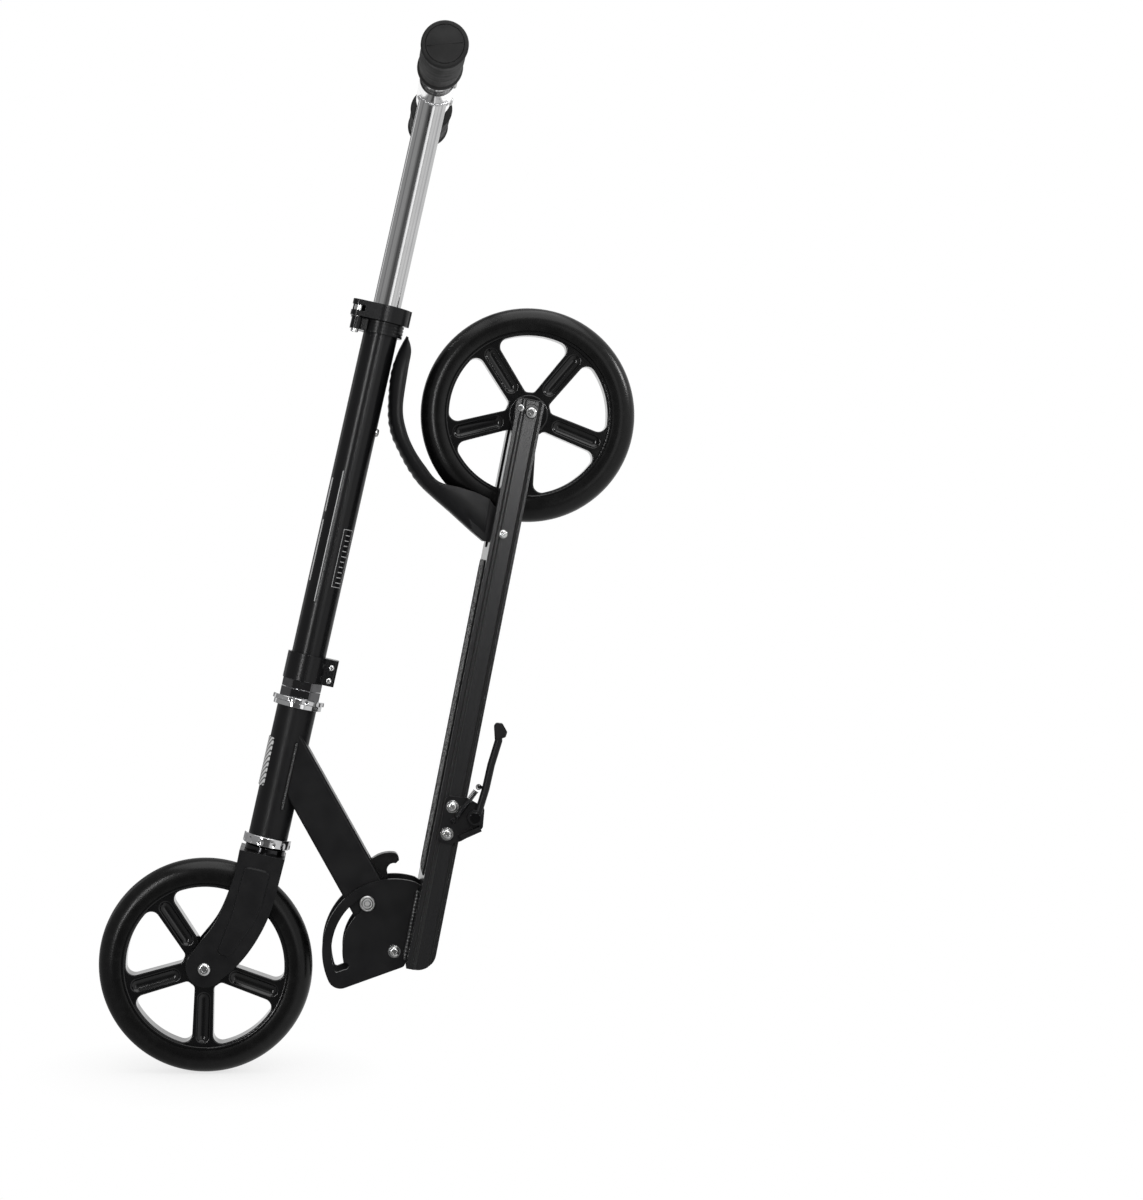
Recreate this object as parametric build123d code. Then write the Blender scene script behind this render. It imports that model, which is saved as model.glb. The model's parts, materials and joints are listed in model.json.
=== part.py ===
"""Folding kick scooter, stored folded: deck swung up beside the steering stem.

Row frame: +X towards the tail, -Y the rider's left, +Z up, millimetres.
The origin is on the floor, half way between the two axles.

Four working frames are used, each at a real joint of the scooter:
  STEM  origin on the steering axis, level with the front axle; local Z up the stem, X rearward
  NECK  origin on the fold bolt; local Z up the neck, X towards the neck's rear face
  DECK  origin on the fold bolt; local X rearward along the deck, Z out of the tread
  BAR   origin at the middle of the T sleeve; local Z up the stem
"""
from build123d import *
import math
import os

# ---------------------------------------------------------------- driving dimensions
WHEEL_R = 100.0            # 200 mm wheels
TYRE_HALF_W = 15.0
TYRE_IN_R = 77.5
RIM_OPEN_R = 73.8          # outer edge of the openings between spokes
HUB_R = 18.5
WINDOW_IN_R = 21.0         # inner edge of the openings
HUB_HALF_W = 14.0
CORE_HALF_W = 10.5         # flat faces of the spokes
LIP_HALF_W = 12.6          # raised lip beside the tyre
SPOKES = 5
SPOKE_HALF_W = (8.7, 10.0) # at the hub's centre and 80 mm out
TROUGH_HALF_W = 6.0        # round-bottomed channel along each spoke
TROUGH_DEPTH = 3.2
TROUGH_ENDS = (24.5, 71.5) # its ends, from the axle
RAIL_ROUND = 1.2           # rounding of the rails beside the channel
WINDOW_RIM_ROUND = 8.0     # corners of the openings, beside the rim and beside the hub
WINDOW_HUB_ROUND = 4.5
FRONT_SPOKE_DEG = 52.0
REAR_SPOKE_DEG = 49.5
BEARING_R = 11.0
BEARING_W = 7.0
AXLE_R = 4.0
RUN = 0.05                 # radial running clearance

HALF_BASE = 150.4          # folded, each axle is this far from the origin in X
STEM_DEG = 12.64           # stem leans back from the vertical
FORK_OFFSET = 30.7         # front axle ahead of the steering axis

FOLD_X = 25.5
FOLD_Z = 115.7
DECK_DEG = 78.85           # folded deck above the horizontal
NECK_DEG = 29.25           # neck from the vertical
FOLD_TRAVEL = 77.66

DECK_TOP = -12.1
DECK_BOTTOM = -36.8
DECK_FRONT = -8.5
DECK_REAR = 523.0
DECK_HALF_W = 52.0
REAR_AXLE_U = 512.4
REAR_AXLE_V = -26.3
SCREW_DU = 2.4             # small screw behind the axle and below the tread
SCREW_DV = 3.8
WELL_FRONT = 384.0         # opening in the deck's tail for the rear wheel
WELL_HALF_W = 23.0

FENDER_U = 398.4           # fender's bolt across the tail
FENDER_V = -22.4
FENDER_BOLT_R = 3.0
FENDER_OUTER = [(388.6, -7.6), (398.0, 9.0), (408.0, 25.6), (426.4, 56.8), (439.5, 72.4),
                (457.7, 87.4), (472.1, 96.8), (490.5, 102.8), (523.8, 106.9), (562.8, 99.1)]
FENDER_HALF_W = 21.6
FENDER_SHEET = 2.4
STAND_BOLTS_U = (120.0, 145.4)
STAND_BOLT_V = -24.8
STAND_PIVOT = (140.0, -47.0)
STAND_EYE = (168.0, -44.6)
STAND_ROD_R = 3.5
SPRING_POST = (133.0, -28.2)
STAND_MID_Y = -60.2        # middle plane of the stand's leg and spring

PLATE_IN = 17.5            # fold plates, inner and outer face
PLATE_OUT = 21.5
PLATE_R = 67.0
PIN_R = 2.5
PIN_ORBIT = 51.0
SLOT_R_IN = 48.2
SLOT_R_OUT = 58.3
LOCK_TRAVEL = 4.3

HEAD_TUBE = (130.5, 254.0)
HEAD_TUBE_R = 18.5
STEERER_R = 14.3
STEERER_TOP = 325.0
LOWER_TUBE = (279.0, 634.0)
LOWER_TUBE_R = 16.2
UPPER_TUBE_R = 13.25
UPPER_TUBE_BOTTOM = 500.0
T_CENTRE = 845.1
T_SLEEVE_R = 16.5
T_SLEEVE_HALF = 58.0
BAR_R = 14.0
GRIP_IN = 115.0
BAR_HALF = 230.0
SNAP_Y = 48.0
BUTTON_S = 519.7
BUTTON_R = 4.0
QR_LOW = 609.5
QR_TOP = 637.0
QR_PIVOT = (-24.6, -16.0)  # lever pin, rearward and sideways from the steering axis

STEM = Pos(-HALF_BASE, 0, WHEEL_R) * Rot(0, STEM_DEG, 0) * Pos(FORK_OFFSET, 0, 0)
NECK = Pos(FOLD_X, 0, FOLD_Z) * Rot(0, -NECK_DEG, 0)
DECK = Pos(FOLD_X, 0, FOLD_Z) * Rot(0, -DECK_DEG, 0)
BAR = STEM * Pos(0, 0, T_CENTRE)


# ---------------------------------------------------------------- shape helpers
def z_rod(r, z0, z1, x=0.0, y=0.0):
    """Solid cylinder along local Z."""
    return Pos(x, y, (z0 + z1) / 2) * Cylinder(r, z1 - z0)


def z_tube(r, r_in, z0, z1):
    """Ring or tube along local Z."""
    return z_rod(r, z0, z1) - z_rod(r_in, z0 - 1, z1 + 1)


def y_rod(r, y0, y1, x=0.0, z=0.0):
    """Solid cylinder along Y."""
    return Pos(x, (y0 + y1) / 2, z) * Rot(90, 0, 0) * Cylinder(r, y1 - y0)


def y_tube(r, r_in, y0, y1, x=0.0, z=0.0):
    """Ring or tube along Y."""
    return y_rod(r, y0, y1, x, z) - y_rod(r_in, y0 - 1, y1 + 1, x, z)


def block(x, y, z):
    """Box given by its low and high limits along each axis."""
    size = Box(x[1] - x[0], y[1] - y[0], z[1] - z[0])
    return Pos((x[0] + x[1]) / 2, (y[0] + y[1]) / 2, (z[0] + z[1]) / 2) * size


def side_plate(face, y0, y1):
    """Face drawn in local X and Z, given thickness from y0 to y1."""
    return Pos(0, y1, 0) * extrude(Plane.XZ * face, amount=y1 - y0, dir=(0, -1, 0))


def polar(r, deg):
    """Point at a radius and an angle."""
    return (r * math.cos(math.radians(deg)), r * math.sin(math.radians(deg)))


def sector_band(r_in, r_out, deg0, deg1):
    """Face between two radii and two angles."""
    mid = (deg0 + deg1) / 2
    edges = [
        ThreePointArc(polar(r_out, deg0), polar(r_out, mid), polar(r_out, deg1)),
        Line(polar(r_out, deg1), polar(r_in, deg1)),
        ThreePointArc(polar(r_in, deg1), polar(r_in, mid), polar(r_in, deg0)),
        Line(polar(r_in, deg0), polar(r_out, deg0)),
    ]
    return make_face(edges)


def dome_head(r, height, y0, side):
    """Button head lying on the plane y0, bulging towards side (+1 or -1), with a hexagon socket."""
    low, high = sorted((y0, y0 + side * height))
    head = y_rod(r, low, high)
    rim = head.faces().sort_by(Axis.Y)[0 if side < 0 else -1].edges()
    head = fillet(rim, height * 0.75)
    socket = Rot(90, 0, 0) * extrude(RegularPolygon(r * 0.42, 6), amount=height * 0.6, both=True)
    return head - Pos(0, y0 + side * height, 0) * socket


def both_sides(make):
    """Two copies of a group of shapes, for the left (-1) and the right (+1) side."""
    return [make(-1), make(1)]


def group(name, shapes):
    """Several separate solids kept in one node."""
    solids = []
    for shape in shapes:
        solids.extend(shape.solids())
    return name, Compound(children=solids) if len(solids) > 1 else solids[0]


# ---------------------------------------------------------------- wheels
def tyre():
    """Cast tyre: flat sides that round over to the tread."""
    shoulder = WHEEL_R - TYRE_HALF_W
    profile = make_face([
        Line((TYRE_IN_R, -TYRE_HALF_W + 0.6), (TYRE_IN_R, TYRE_HALF_W - 0.6)),
        Line((TYRE_IN_R, TYRE_HALF_W - 0.6), (shoulder, TYRE_HALF_W)),
        ThreePointArc((shoulder, TYRE_HALF_W), (WHEEL_R, 0), (shoulder, -TYRE_HALF_W)),
        Line((shoulder, -TYRE_HALF_W), (TYRE_IN_R, -TYRE_HALF_W + 0.6)),
    ])
    return revolve(Plane.XY * profile, Axis.Y)


def spoke_windows(first_deg):
    """Openings between the spokes, drawn together, with rounded corners."""
    near, far = SPOKE_HALF_W
    openings = Circle(RIM_OPEN_R) - Circle(WINDOW_IN_R)
    for k in range(SPOKES):
        spoke = Polygon((0, -near), (80, -far), (80, far), (0, near), align=None)
        openings -= Rot(0, 0, first_deg + 360 / SPOKES * k) * spoke
    rim_corners = [v for v in openings.vertices() if math.hypot(v.X, v.Y) > 50]
    openings = fillet(rim_corners, WINDOW_RIM_ROUND)
    hub_corners = [v for v in openings.vertices() if math.hypot(v.X, v.Y) < 40]
    return fillet(hub_corners, WINDOW_HUB_ROUND)


def spoke_core(first_deg):
    """Moulded core: rounded rim lip, hub, five channelled spokes with rounded rails."""
    core = y_rod(TYRE_IN_R, -CORE_HALF_W, CORE_HALF_W)
    core -= side_plate(spoke_windows(first_deg), -CORE_HALF_W - 1, CORE_HALF_W + 1)
    scoop_r = (TROUGH_HALF_W ** 2 + TROUGH_DEPTH ** 2) / (2 * TROUGH_DEPTH)
    scoop_y = CORE_HALF_W - TROUGH_DEPTH + scoop_r
    start, end = TROUGH_ENDS[0] + TROUGH_HALF_W, TROUGH_ENDS[1] - TROUGH_HALF_W
    for k in range(SPOKES):
        for side in (-1, 1):
            scoop = Pos((start + end) / 2, 0, 0) * Rot(0, 90, 0) * Cylinder(scoop_r, end - start)
            scoop += Pos(start, 0, 0) * Sphere(scoop_r)
            scoop += Pos(end, 0, 0) * Sphere(scoop_r)
            turn = Rot(0, -first_deg - 360 / SPOKES * k, 0)
            core -= Pos(0, side * scoop_y, 0) * turn * scoop
    for face_index in (0, -1):
        face = core.faces().filter_by(Axis.Y).sort_by(Axis.Y)[face_index]
        core = fillet([edge for wire in face.inner_wires() for edge in wire.edges()], RAIL_ROUND)
    lip = y_tube(TYRE_IN_R, RIM_OPEN_R + 0.9, -LIP_HALF_W, LIP_HALF_W)
    lip = fillet([e for e in lip.edges().filter_by(GeomType.CIRCLE) if e.radius < TYRE_IN_R - 1], 1.6)
    hub = y_rod(HUB_R, -HUB_HALF_W, HUB_HALF_W)
    core = core + lip + fillet(hub.edges().filter_by(GeomType.CIRCLE), 1.5)
    for side in (-1, 1):
        low, high = sorted((side * (HUB_HALF_W - BEARING_W), side * (HUB_HALF_W + 1)))
        core -= y_rod(BEARING_R + 0.02, low, high)
    return core - y_rod(8.0, -HUB_HALF_W, HUB_HALF_W)


def wheel(name, place, first_deg):
    """Tyre, core, two sealed bearings and the sleeve that spaces their inner rings."""
    def bearing(side):
        low, high = sorted((side * (HUB_HALF_W - BEARING_W + 0.05), side * (HUB_HALF_W - 0.1)))
        groove = y_tube(9.6, 6.2, high - 0.4, high) if side > 0 else y_tube(9.6, 6.2, low, low + 0.4)
        return place * (y_tube(BEARING_R, AXLE_R + RUN, low, high) - groove)

    inner = HUB_HALF_W - BEARING_W
    return [
        (name + "_tyre", place * tyre()),
        (name + "_core", place * spoke_core(first_deg)),
        group(name + "_bearings", both_sides(bearing)),
        (name + "_bearing_sleeve", place * y_tube(6.0, AXLE_R + RUN, -inner, inner)),
    ]


# ---------------------------------------------------------------- fixed frame
def head_tube():
    """Tube that carries the steering bearings."""
    return STEM * z_tube(HEAD_TUBE_R, 16.9, *HEAD_TUBE)


def neck():
    """Rectangular tube from the head tube down to the fold bolt, with the lock slider's slots."""
    front, rear, half = -16.9, 22.1, 17.0
    outer = block((front, rear), (-half, half), (22.0, 290.0))
    outer = fillet(outer.edges().filter_by(Axis.Z), 2.4)
    lug_points = [(front, 22.0), (rear, 22.0), (11.3, 2.0), (-11.3, 2.0)]
    lug = side_plate(Polygon(*lug_points, align=None), -half, half) + y_rod(11.5, -half, half)
    cavity = block((front + 2.5, rear - 2.5), (-half + 2.5, half - 2.5), (24.0, 291.0))
    pin_low, pin_high = PIN_ORBIT - PIN_R - 0.3, PIN_ORBIT + LOCK_TRAVEL + PIN_R + 0.3
    pin_slot = block((-PIN_R - 0.1, PIN_R + 0.1), (-half - 1, half + 1), (pin_low, pin_high))
    hook_slot = block((rear - 4, rear + 1), (-6.4, 6.4), (58.7, 88.2))
    stop = block((front + 2, rear - 2), (-half + 2, half - 2), (90.0, 92.6))
    body = outer + lug - cavity + stop - pin_slot - hook_slot
    tube = NECK * (body - y_rod(6.02, -half - 1, half + 1))
    head_space = STEM * z_rod(HEAD_TUBE_R, 60, 330)
    beyond = STEM * block((-120, 0), (-30, 30), (40, 420))
    return (tube - head_space - beyond).solids().sort_by(SortBy.VOLUME)[-1]


def head_badge():
    """Plain curved plate on the front of the head tube."""
    window = block((-25, -8), (-12, 12), (176, 222))
    window = fillet(window.edges().filter_by(Axis.X), 1.5)
    return STEM * (z_tube(HEAD_TUBE_R + 1.1, HEAD_TUBE_R + 0.02, 170, 230) & window)


def scalloped(ring, r, z, bite_r, depth):
    """Ring with twelve hollows round its edge for a spanner."""
    for k in range(12):
        x, y = polar(r + bite_r - depth, 30 * k + 15)
        ring -= Pos(x, y, z) * Sphere(bite_r)
    return ring


def headset_lower_cup():
    """Pressed cup under the head tube."""
    low, high = 121.4, HEAD_TUBE[0]
    flange = z_tube(22.4, 15.2, low, high)
    flange = chamfer(flange.faces().sort_by(Axis.Z)[0].outer_wire().edges(), 0.8)
    flange = fillet(flange.faces().sort_by(Axis.Z)[-1].outer_wire().edges(), 0.8)
    cup = scalloped(flange, 22.4, 124.8, 6.0, 1.1) + z_tube(16.85, 15.2, high, high + 10)
    return STEM * (cup - z_rod(19.5, low - 1, 128.0))


def headset_upper_cup():
    """Pressed cup on top of the head tube."""
    low, high = HEAD_TUBE[1], 258.3
    cup = z_tube(22.8, 15.2, low, high) + z_tube(16.85, 15.2, low - 10, low)
    return STEM * (cup - z_rod(19.6, 255.6, high + 1))


def fold_bush():
    """Steel sleeve in the neck for the fold bolt."""
    return NECK * y_tube(6.0, AXLE_R + RUN, -17.2, 17.2)


def coil(radius, wire_r, pitch, turns):
    """Coil spring along local Z, starting at Z = 0, as one swept wire."""
    path = Helix(pitch, pitch * turns, radius)
    section = Plane(origin=path @ 0, z_dir=path % 0) * Circle(wire_r)
    return sweep(section, path=path, is_frenet=True)


def lock_spring():
    """Spring that pushes the lock slider down into its notch."""
    return NECK * Pos(0, 0, 67.8) * coil(4.0, 0.6, 3.0, 7)


# ---------------------------------------------------------------- steering
def fork():
    """Crown with two flat blades, each with a raised pressed panel."""
    axle = (-FORK_OFFSET, 0)
    front = [(-23, 115), (-22.4, 90), (-24.7, 72), (-30.7, 43), (-43.9, 15), (-46.9, 7)]
    rear = [(-13.4, -6), (0.9, 14), (13.5, 45), (17.6, 64), (19.3, 90), (20, 115)]
    outline = make_face([
        Line(rear[-1], front[0]),
        Line(front[0], front[1]),
        Spline(*front[1:]),
        ThreePointArc(front[-1], (-32.5, -16.6), rear[0]),
        Spline(*rear[:-1]),
        Line(rear[-2], rear[-1]),
    ])
    crown_outline = Polygon((-23, 115), (-22.4, 103.6), (19.6, 103.6), (20, 115), align=None)
    body = side_plate(outline, -27, -22) + side_plate(outline, 22, 27)
    body += side_plate(crown_outline, -22, 22)
    panel = Polygon((-14.8, 101.2), (9.8, 101.2), (9.2, 70.0), (4.0, 49.0), (-10.4, 16.0),
                    (-23.2, 16.0), (-17.2, 56.0), align=None)
    panel = fillet([v for v in panel.vertices() if v.Y > 100], 6.0)
    panel = fillet([v for v in panel.vertices() if v.Y < 20], 5.0)
    panel = fillet([v for v in panel.vertices() if 48 < v.Y < 71], 12.0)
    for side in (-1, 1):
        low, high = sorted((side * 27, side * 28.4))
        rib = side_plate(panel, low, high)
        top = rib.faces().sort_by(Axis.Y)[0 if side < 0 else -1]
        body += chamfer(top.edges(), 1.0)
    body -= y_rod(AXLE_R + 0.02, -40, 40, axle[0], axle[1])
    return STEM * body


def fork_steerer():
    """Tube welded in the crown, up through the head tube into the stem tube."""
    return STEM * z_tube(STEERER_R, 11.9, 115.0, STEERER_TOP)


def steering_bearing(low, high, r_out):
    """Ball race ring on the steerer, seen edge-on between the cups."""
    return STEM * z_tube(r_out, STEERER_R + 0.03, low, high)


def crown_race():
    """Race ring on the fork crown."""
    ring = z_tube(19.0, STEERER_R + 0.03, 115.0, 121.0)
    return STEM * chamfer(ring.faces().sort_by(Axis.Z)[-1].outer_wire().edges(), 1.2)


def dust_cap():
    """Scalloped cap over the upper bearing."""
    cap = z_tube(24.3, STEERER_R + 0.03, 258.7, 263.0)
    cap = fillet(cap.faces().sort_by(Axis.Z)[-1].outer_wire().edges(), 1.2)
    return STEM * scalloped(cap, 24.3, 260.4, 7.0, 1.3)


def headset_nut(low, high):
    """Hexagon nut on the steerer's thread."""
    nut = Pos(0, 0, low) * extrude(RegularPolygon(18.9, 6), amount=high - low)
    nut &= z_rod(18.6, low, high) & Pos(0, 0, low) * Cone(
        28.0, 17.2, (high - low) * 3, align=(Align.CENTER, Align.CENTER, Align.MIN))
    return STEM * (nut - z_rod(STEERER_R + 0.03, low - 1, high + 1))


def lower_stem_tube():
    """Black tube clamped on the steerer, split at both ends, with the height button's hole."""
    low, high = LOWER_TUBE
    tube = z_tube(LOWER_TUBE_R, STEERER_R + 0.05, low, high)
    tube -= block((0, 20), (-1.5, 1.5), (low - 1, low + 34))
    tube -= block((-20, 0), (-1.3, 1.3), (high - 42, high + 1))
    return STEM * (tube - Pos(15, 0, BUTTON_S) * Rot(0, 90, 0) * Cylinder(BUTTON_R + RUN, 14))


def stem_bush():
    """Plastic shim that guides the sliding tube in the mouth of the stem tube."""
    low, high = LOWER_TUBE
    sleeve = z_tube(STEERER_R, UPPER_TUBE_R + RUN, high - 50, high)
    lip = z_tube(LOWER_TUBE_R, UPPER_TUBE_R + RUN, high, high + 2.4)
    return STEM * (sleeve + lip - block((-20, 0), (-1.3, 1.3), (high - 51, high + 3)))


def stem_clamp():
    """Collar with a split lug behind and two cross screws."""
    ring = z_rod(19.5, 279.2, 304.0) + block((14, 29), (-9.5, 9.5), (279.2, 304.0))
    ring = fillet(ring.edges().filter_by(Axis.Z).sort_by(Axis.X)[-2:], 3.0)
    ring -= z_rod(LOWER_TUBE_R + 0.03, 278, 305)
    ring -= block((0, 30), (-1.2, 1.2), (278, 305))
    for s in (284.1, 296.4):
        ring -= y_rod(1.8, -12, 12, 23.5, s)
        ring -= y_rod(3.4, -12, -7.5, 23.5, s)
    return STEM * ring


def cross_screw(x, z, y0, y1, r, head_r, head_h):
    """Screw along Y with its button head on the near side."""
    head = dome_head(head_r, head_h, y0, -1)
    return Pos(x, 0, z) * (head + y_rod(r, y0, y1))


def stem_clamp_screws():
    """The two screws of the lower clamp."""
    return group("stem_clamp_screws", [STEM * cross_screw(23.5, s, -7.5, 9.4, 1.75, 3.2, 2.6)
                                       for s in (284.1, 296.4)])


def qr_collar():
    """Quick-release collar: ribbed ring, narrower upper ring, two ears and a knuckle for the lever pin."""
    ring = z_rod(20.2, QR_LOW, 621.0) + z_rod(18.8, 621.0, QR_TOP - 0.3)
    ears = block((-27, -10), (-8.5, 8.5), (QR_LOW, 621.0))
    ears += block((-30.8, -10), (-8.5, 8.5), (621.0, QR_TOP - 0.3))
    ears = fillet(ears.edges().filter_by(Axis.Z).sort_by(Axis.X)[:2], 2.5)
    x, y = QR_PIVOT
    knuckle = z_rod(5.0, QR_LOW, 620.8, x, y) + block((x - 5.0, -14), (y, -8.5), (QR_LOW, 620.8))
    body = ring + ears + knuckle - z_rod(2.54, QR_LOW - 1, 621, x, y)
    body -= z_rod(LOWER_TUBE_R + 0.03, QR_LOW - 1, QR_TOP + 1)
    body -= block((-30, 0), (-1.3, 1.3), (QR_LOW - 1, QR_TOP + 1))
    for k in range(3):
        body -= z_tube(21, 19.5, 611.8 + 3 * k, 613.0 + 3 * k) & block((-16, 30), (-30, 30), (600, 640))
    return STEM * (body - y_rod(2.6, -12, 12, x, 629.0))


def qr_skewer():
    """Cross bolt of the quick release, with an eye for the lever pin and a round nut."""
    x, y = QR_PIVOT
    bolt = y_rod(2.5, y, 13.0, x, 629.0) + y_rod(5.2, 8.5, 14.0, x, 629.0)
    eye = z_rod(4.6, 626.6, 631.4, x, y)
    return STEM * (bolt + eye - z_rod(2.52, 620, 640, x, y))


def qr_pin():
    """Upright pin that the lever turns on, with a head below."""
    x, y = QR_PIVOT
    return STEM * (z_rod(2.5, 606.0, 637.0, x, y) + z_rod(3.6, 606.4, QR_LOW - 0.1, x, y))


def qr_lever():
    """Cam lever that wraps round the near side of the collar."""
    x, y = QR_PIVOT
    low, high = 621.4, 636.6
    root = Polygon((x, y - 7.0), (-4, -23.4), (-4, -20.2), (-14, -15.2), (-19.5, -11.5), align=None)
    arm = extrude(sector_band(20.2, 23.6, -120, -9), amount=high - low, dir=(0, 0, 1))
    arm += extrude(root, amount=high - low, dir=(0, 0, 1))
    tip = polar(22.2, -9)
    ends = z_rod(7.0, 0, high - low, x, y) + z_rod(2.4, 0, high - low, tip[0], tip[1])
    lever = Pos(0, 0, low) * (arm + ends)
    lever -= z_rod(9.0, 626.2, 631.8, x, y)
    return STEM * (lever - z_rod(2.5 + RUN, 620, 640, x, y))


def push_button(depth, reach):
    """Round push button along local X with a retaining flange at its inner end."""
    rod = Pos((depth + reach) / 2, 0, 0) * Rot(0, 90, 0) * Cylinder(BUTTON_R, reach - depth)
    rod = fillet(rod.faces().sort_by(Axis.X)[-1].edges(), 2.2)
    flange = Pos(depth - 0.8, 0, 0) * Rot(0, 90, 0) * Cylinder(5.2, 1.6)
    return rod + flange


def leaf_spring(x_end, length):
    """Folded leaf along local Z: one arm under the button, one against the far wall."""
    far, thick, half = -10.2, 0.5, 3.0
    legs = [(x_end, 3.5), (x_end, -3.5), (far, -length), (far, 2.0), (far + thick, 2.0),
            (far + thick, -length + 2.4), (x_end - thick, -3.3), (x_end - thick, 3.5)]
    return side_plate(Polygon(*legs, align=None), -half, half)


def height_button():
    """Button that engages the sliding tube."""
    return STEM * Pos(0, 0, BUTTON_S) * push_button(9.6, 18.6)


def height_leaf():
    """Leaf spring behind the height button."""
    return STEM * Pos(0, 0, BUTTON_S) * leaf_spring(7.9, 18)


def axle_set(name, place, half_in, seat, head_r):
    """Axle bolt, its nut, and the spacers between the bearings and the side members."""
    bolt = dome_head(head_r, 4.0, -seat, -1) + y_rod(AXLE_R, -seat, seat + 7.5)
    nut = Pos(0, seat + 6.2, 0) * Rot(90, 0, 0) * extrude(RegularPolygon(7.0, 6), amount=6.2)
    nut = fillet(nut.faces().sort_by(Axis.Y)[-1].edges(), 0.8) - y_rod(AXLE_R + 0.02, 0, seat + 9)

    def spacer(side):
        low, high = sorted((side * (HUB_HALF_W + 0.2), side * half_in))
        return place * y_tube(6.0, AXLE_R + 0.02, low, high)

    return [
        (name + "_axle_bolt", place * bolt),
        (name + "_axle_nut", place * nut),
        group(name + "_axle_spacers", both_sides(spacer)),
    ]


# ---------------------------------------------------------------- handlebar
def upper_tube():
    """Polished sliding tube, slotted behind for the height button, coped to the T sleeve."""
    tube = z_tube(UPPER_TUBE_R, 11.7, UPPER_TUBE_BOTTOM, T_CENTRE)
    slot_top = BUTTON_S + 105.0
    tube -= block((0, 20), (-BUTTON_R - 0.6, BUTTON_R + 0.6), (UPPER_TUBE_BOTTOM - 1, slot_top))
    tube -= Pos(10, 0, slot_top) * Rot(0, 90, 0) * Cylinder(BUTTON_R + 0.6, 20)
    tube -= y_rod(T_SLEEVE_R, -60, 60, 0, T_CENTRE)
    return STEM * tube.solids().sort_by(SortBy.VOLUME)[-1]


def t_sleeve():
    """Cross sleeve that takes the two bars."""
    sleeve = y_tube(T_SLEEVE_R, BAR_R + RUN, -T_SLEEVE_HALF, T_SLEEVE_HALF)
    for y in (-SNAP_Y, SNAP_Y):
        sleeve -= Pos(14, y, 0) * Rot(0, 90, 0) * Cylinder(BUTTON_R + RUN, 14)
    return BAR * sleeve


def snap_button(side):
    """Button that holds a pull-out bar in the sleeve."""
    return BAR * Pos(0, side * SNAP_Y, 0) * push_button(9.6, 18.4)


def snap_leaf(side):
    """Leaf spring behind a snap button, lying along the sleeve."""
    return BAR * Pos(0, side * SNAP_Y, 0) * Rot(-90 * side, 0, 0) * leaf_spring(7.9, 18)


def bar_tube(side):
    """Pull-out bar: tube slotted from its inner end past the snap button, closed outside."""
    inner, outer = 12.0, BAR_HALF - 4.0
    low, high = sorted((side * inner, side * outer))
    tube = y_tube(BAR_R, 12.3, low, high)
    slot_low, slot_high = sorted((side * (inner - 1), side * SNAP_Y))
    tube -= block((0, 20), (slot_low, slot_high), (-BUTTON_R - 0.6, BUTTON_R + 0.6))
    tube -= Pos(10, side * SNAP_Y, 0) * Rot(0, 90, 0) * Cylinder(BUTTON_R + 0.6, 20)
    return BAR * tube


def grip(side):
    """Soft grip: two flanges, a barrel body between them, closed at the end."""
    half_profile = [
        Line((BAR_R + 0.02, GRIP_IN), (20.5, GRIP_IN)),
        Line((20.5, GRIP_IN), (20.5, GRIP_IN + 6)),
        Line((20.5, GRIP_IN + 6), (18.8, GRIP_IN + 8)),
        ThreePointArc((18.8, GRIP_IN + 8), (19.9, 172), (18.8, BAR_HALF - 8)),
        Line((18.8, BAR_HALF - 8), (20.5, BAR_HALF - 6)),
        Line((20.5, BAR_HALF - 6), (20.5, BAR_HALF - 2)),
        ThreePointArc((20.5, BAR_HALF - 2), (19.91, BAR_HALF - 0.59), (18.5, BAR_HALF)),
        Line((18.5, BAR_HALF), (0, BAR_HALF)),
        Line((0, BAR_HALF), (0, BAR_HALF - 3.9)),
        Line((0, BAR_HALF - 3.9), (BAR_R + 0.02, BAR_HALF - 3.9)),
        Line((BAR_R + 0.02, BAR_HALF - 3.9), (BAR_R + 0.02, GRIP_IN)),
    ]
    body = revolve(make_face(half_profile), Axis.Y)
    return BAR * (body if side > 0 else Rot(180, 0, 0) * body)


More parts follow.
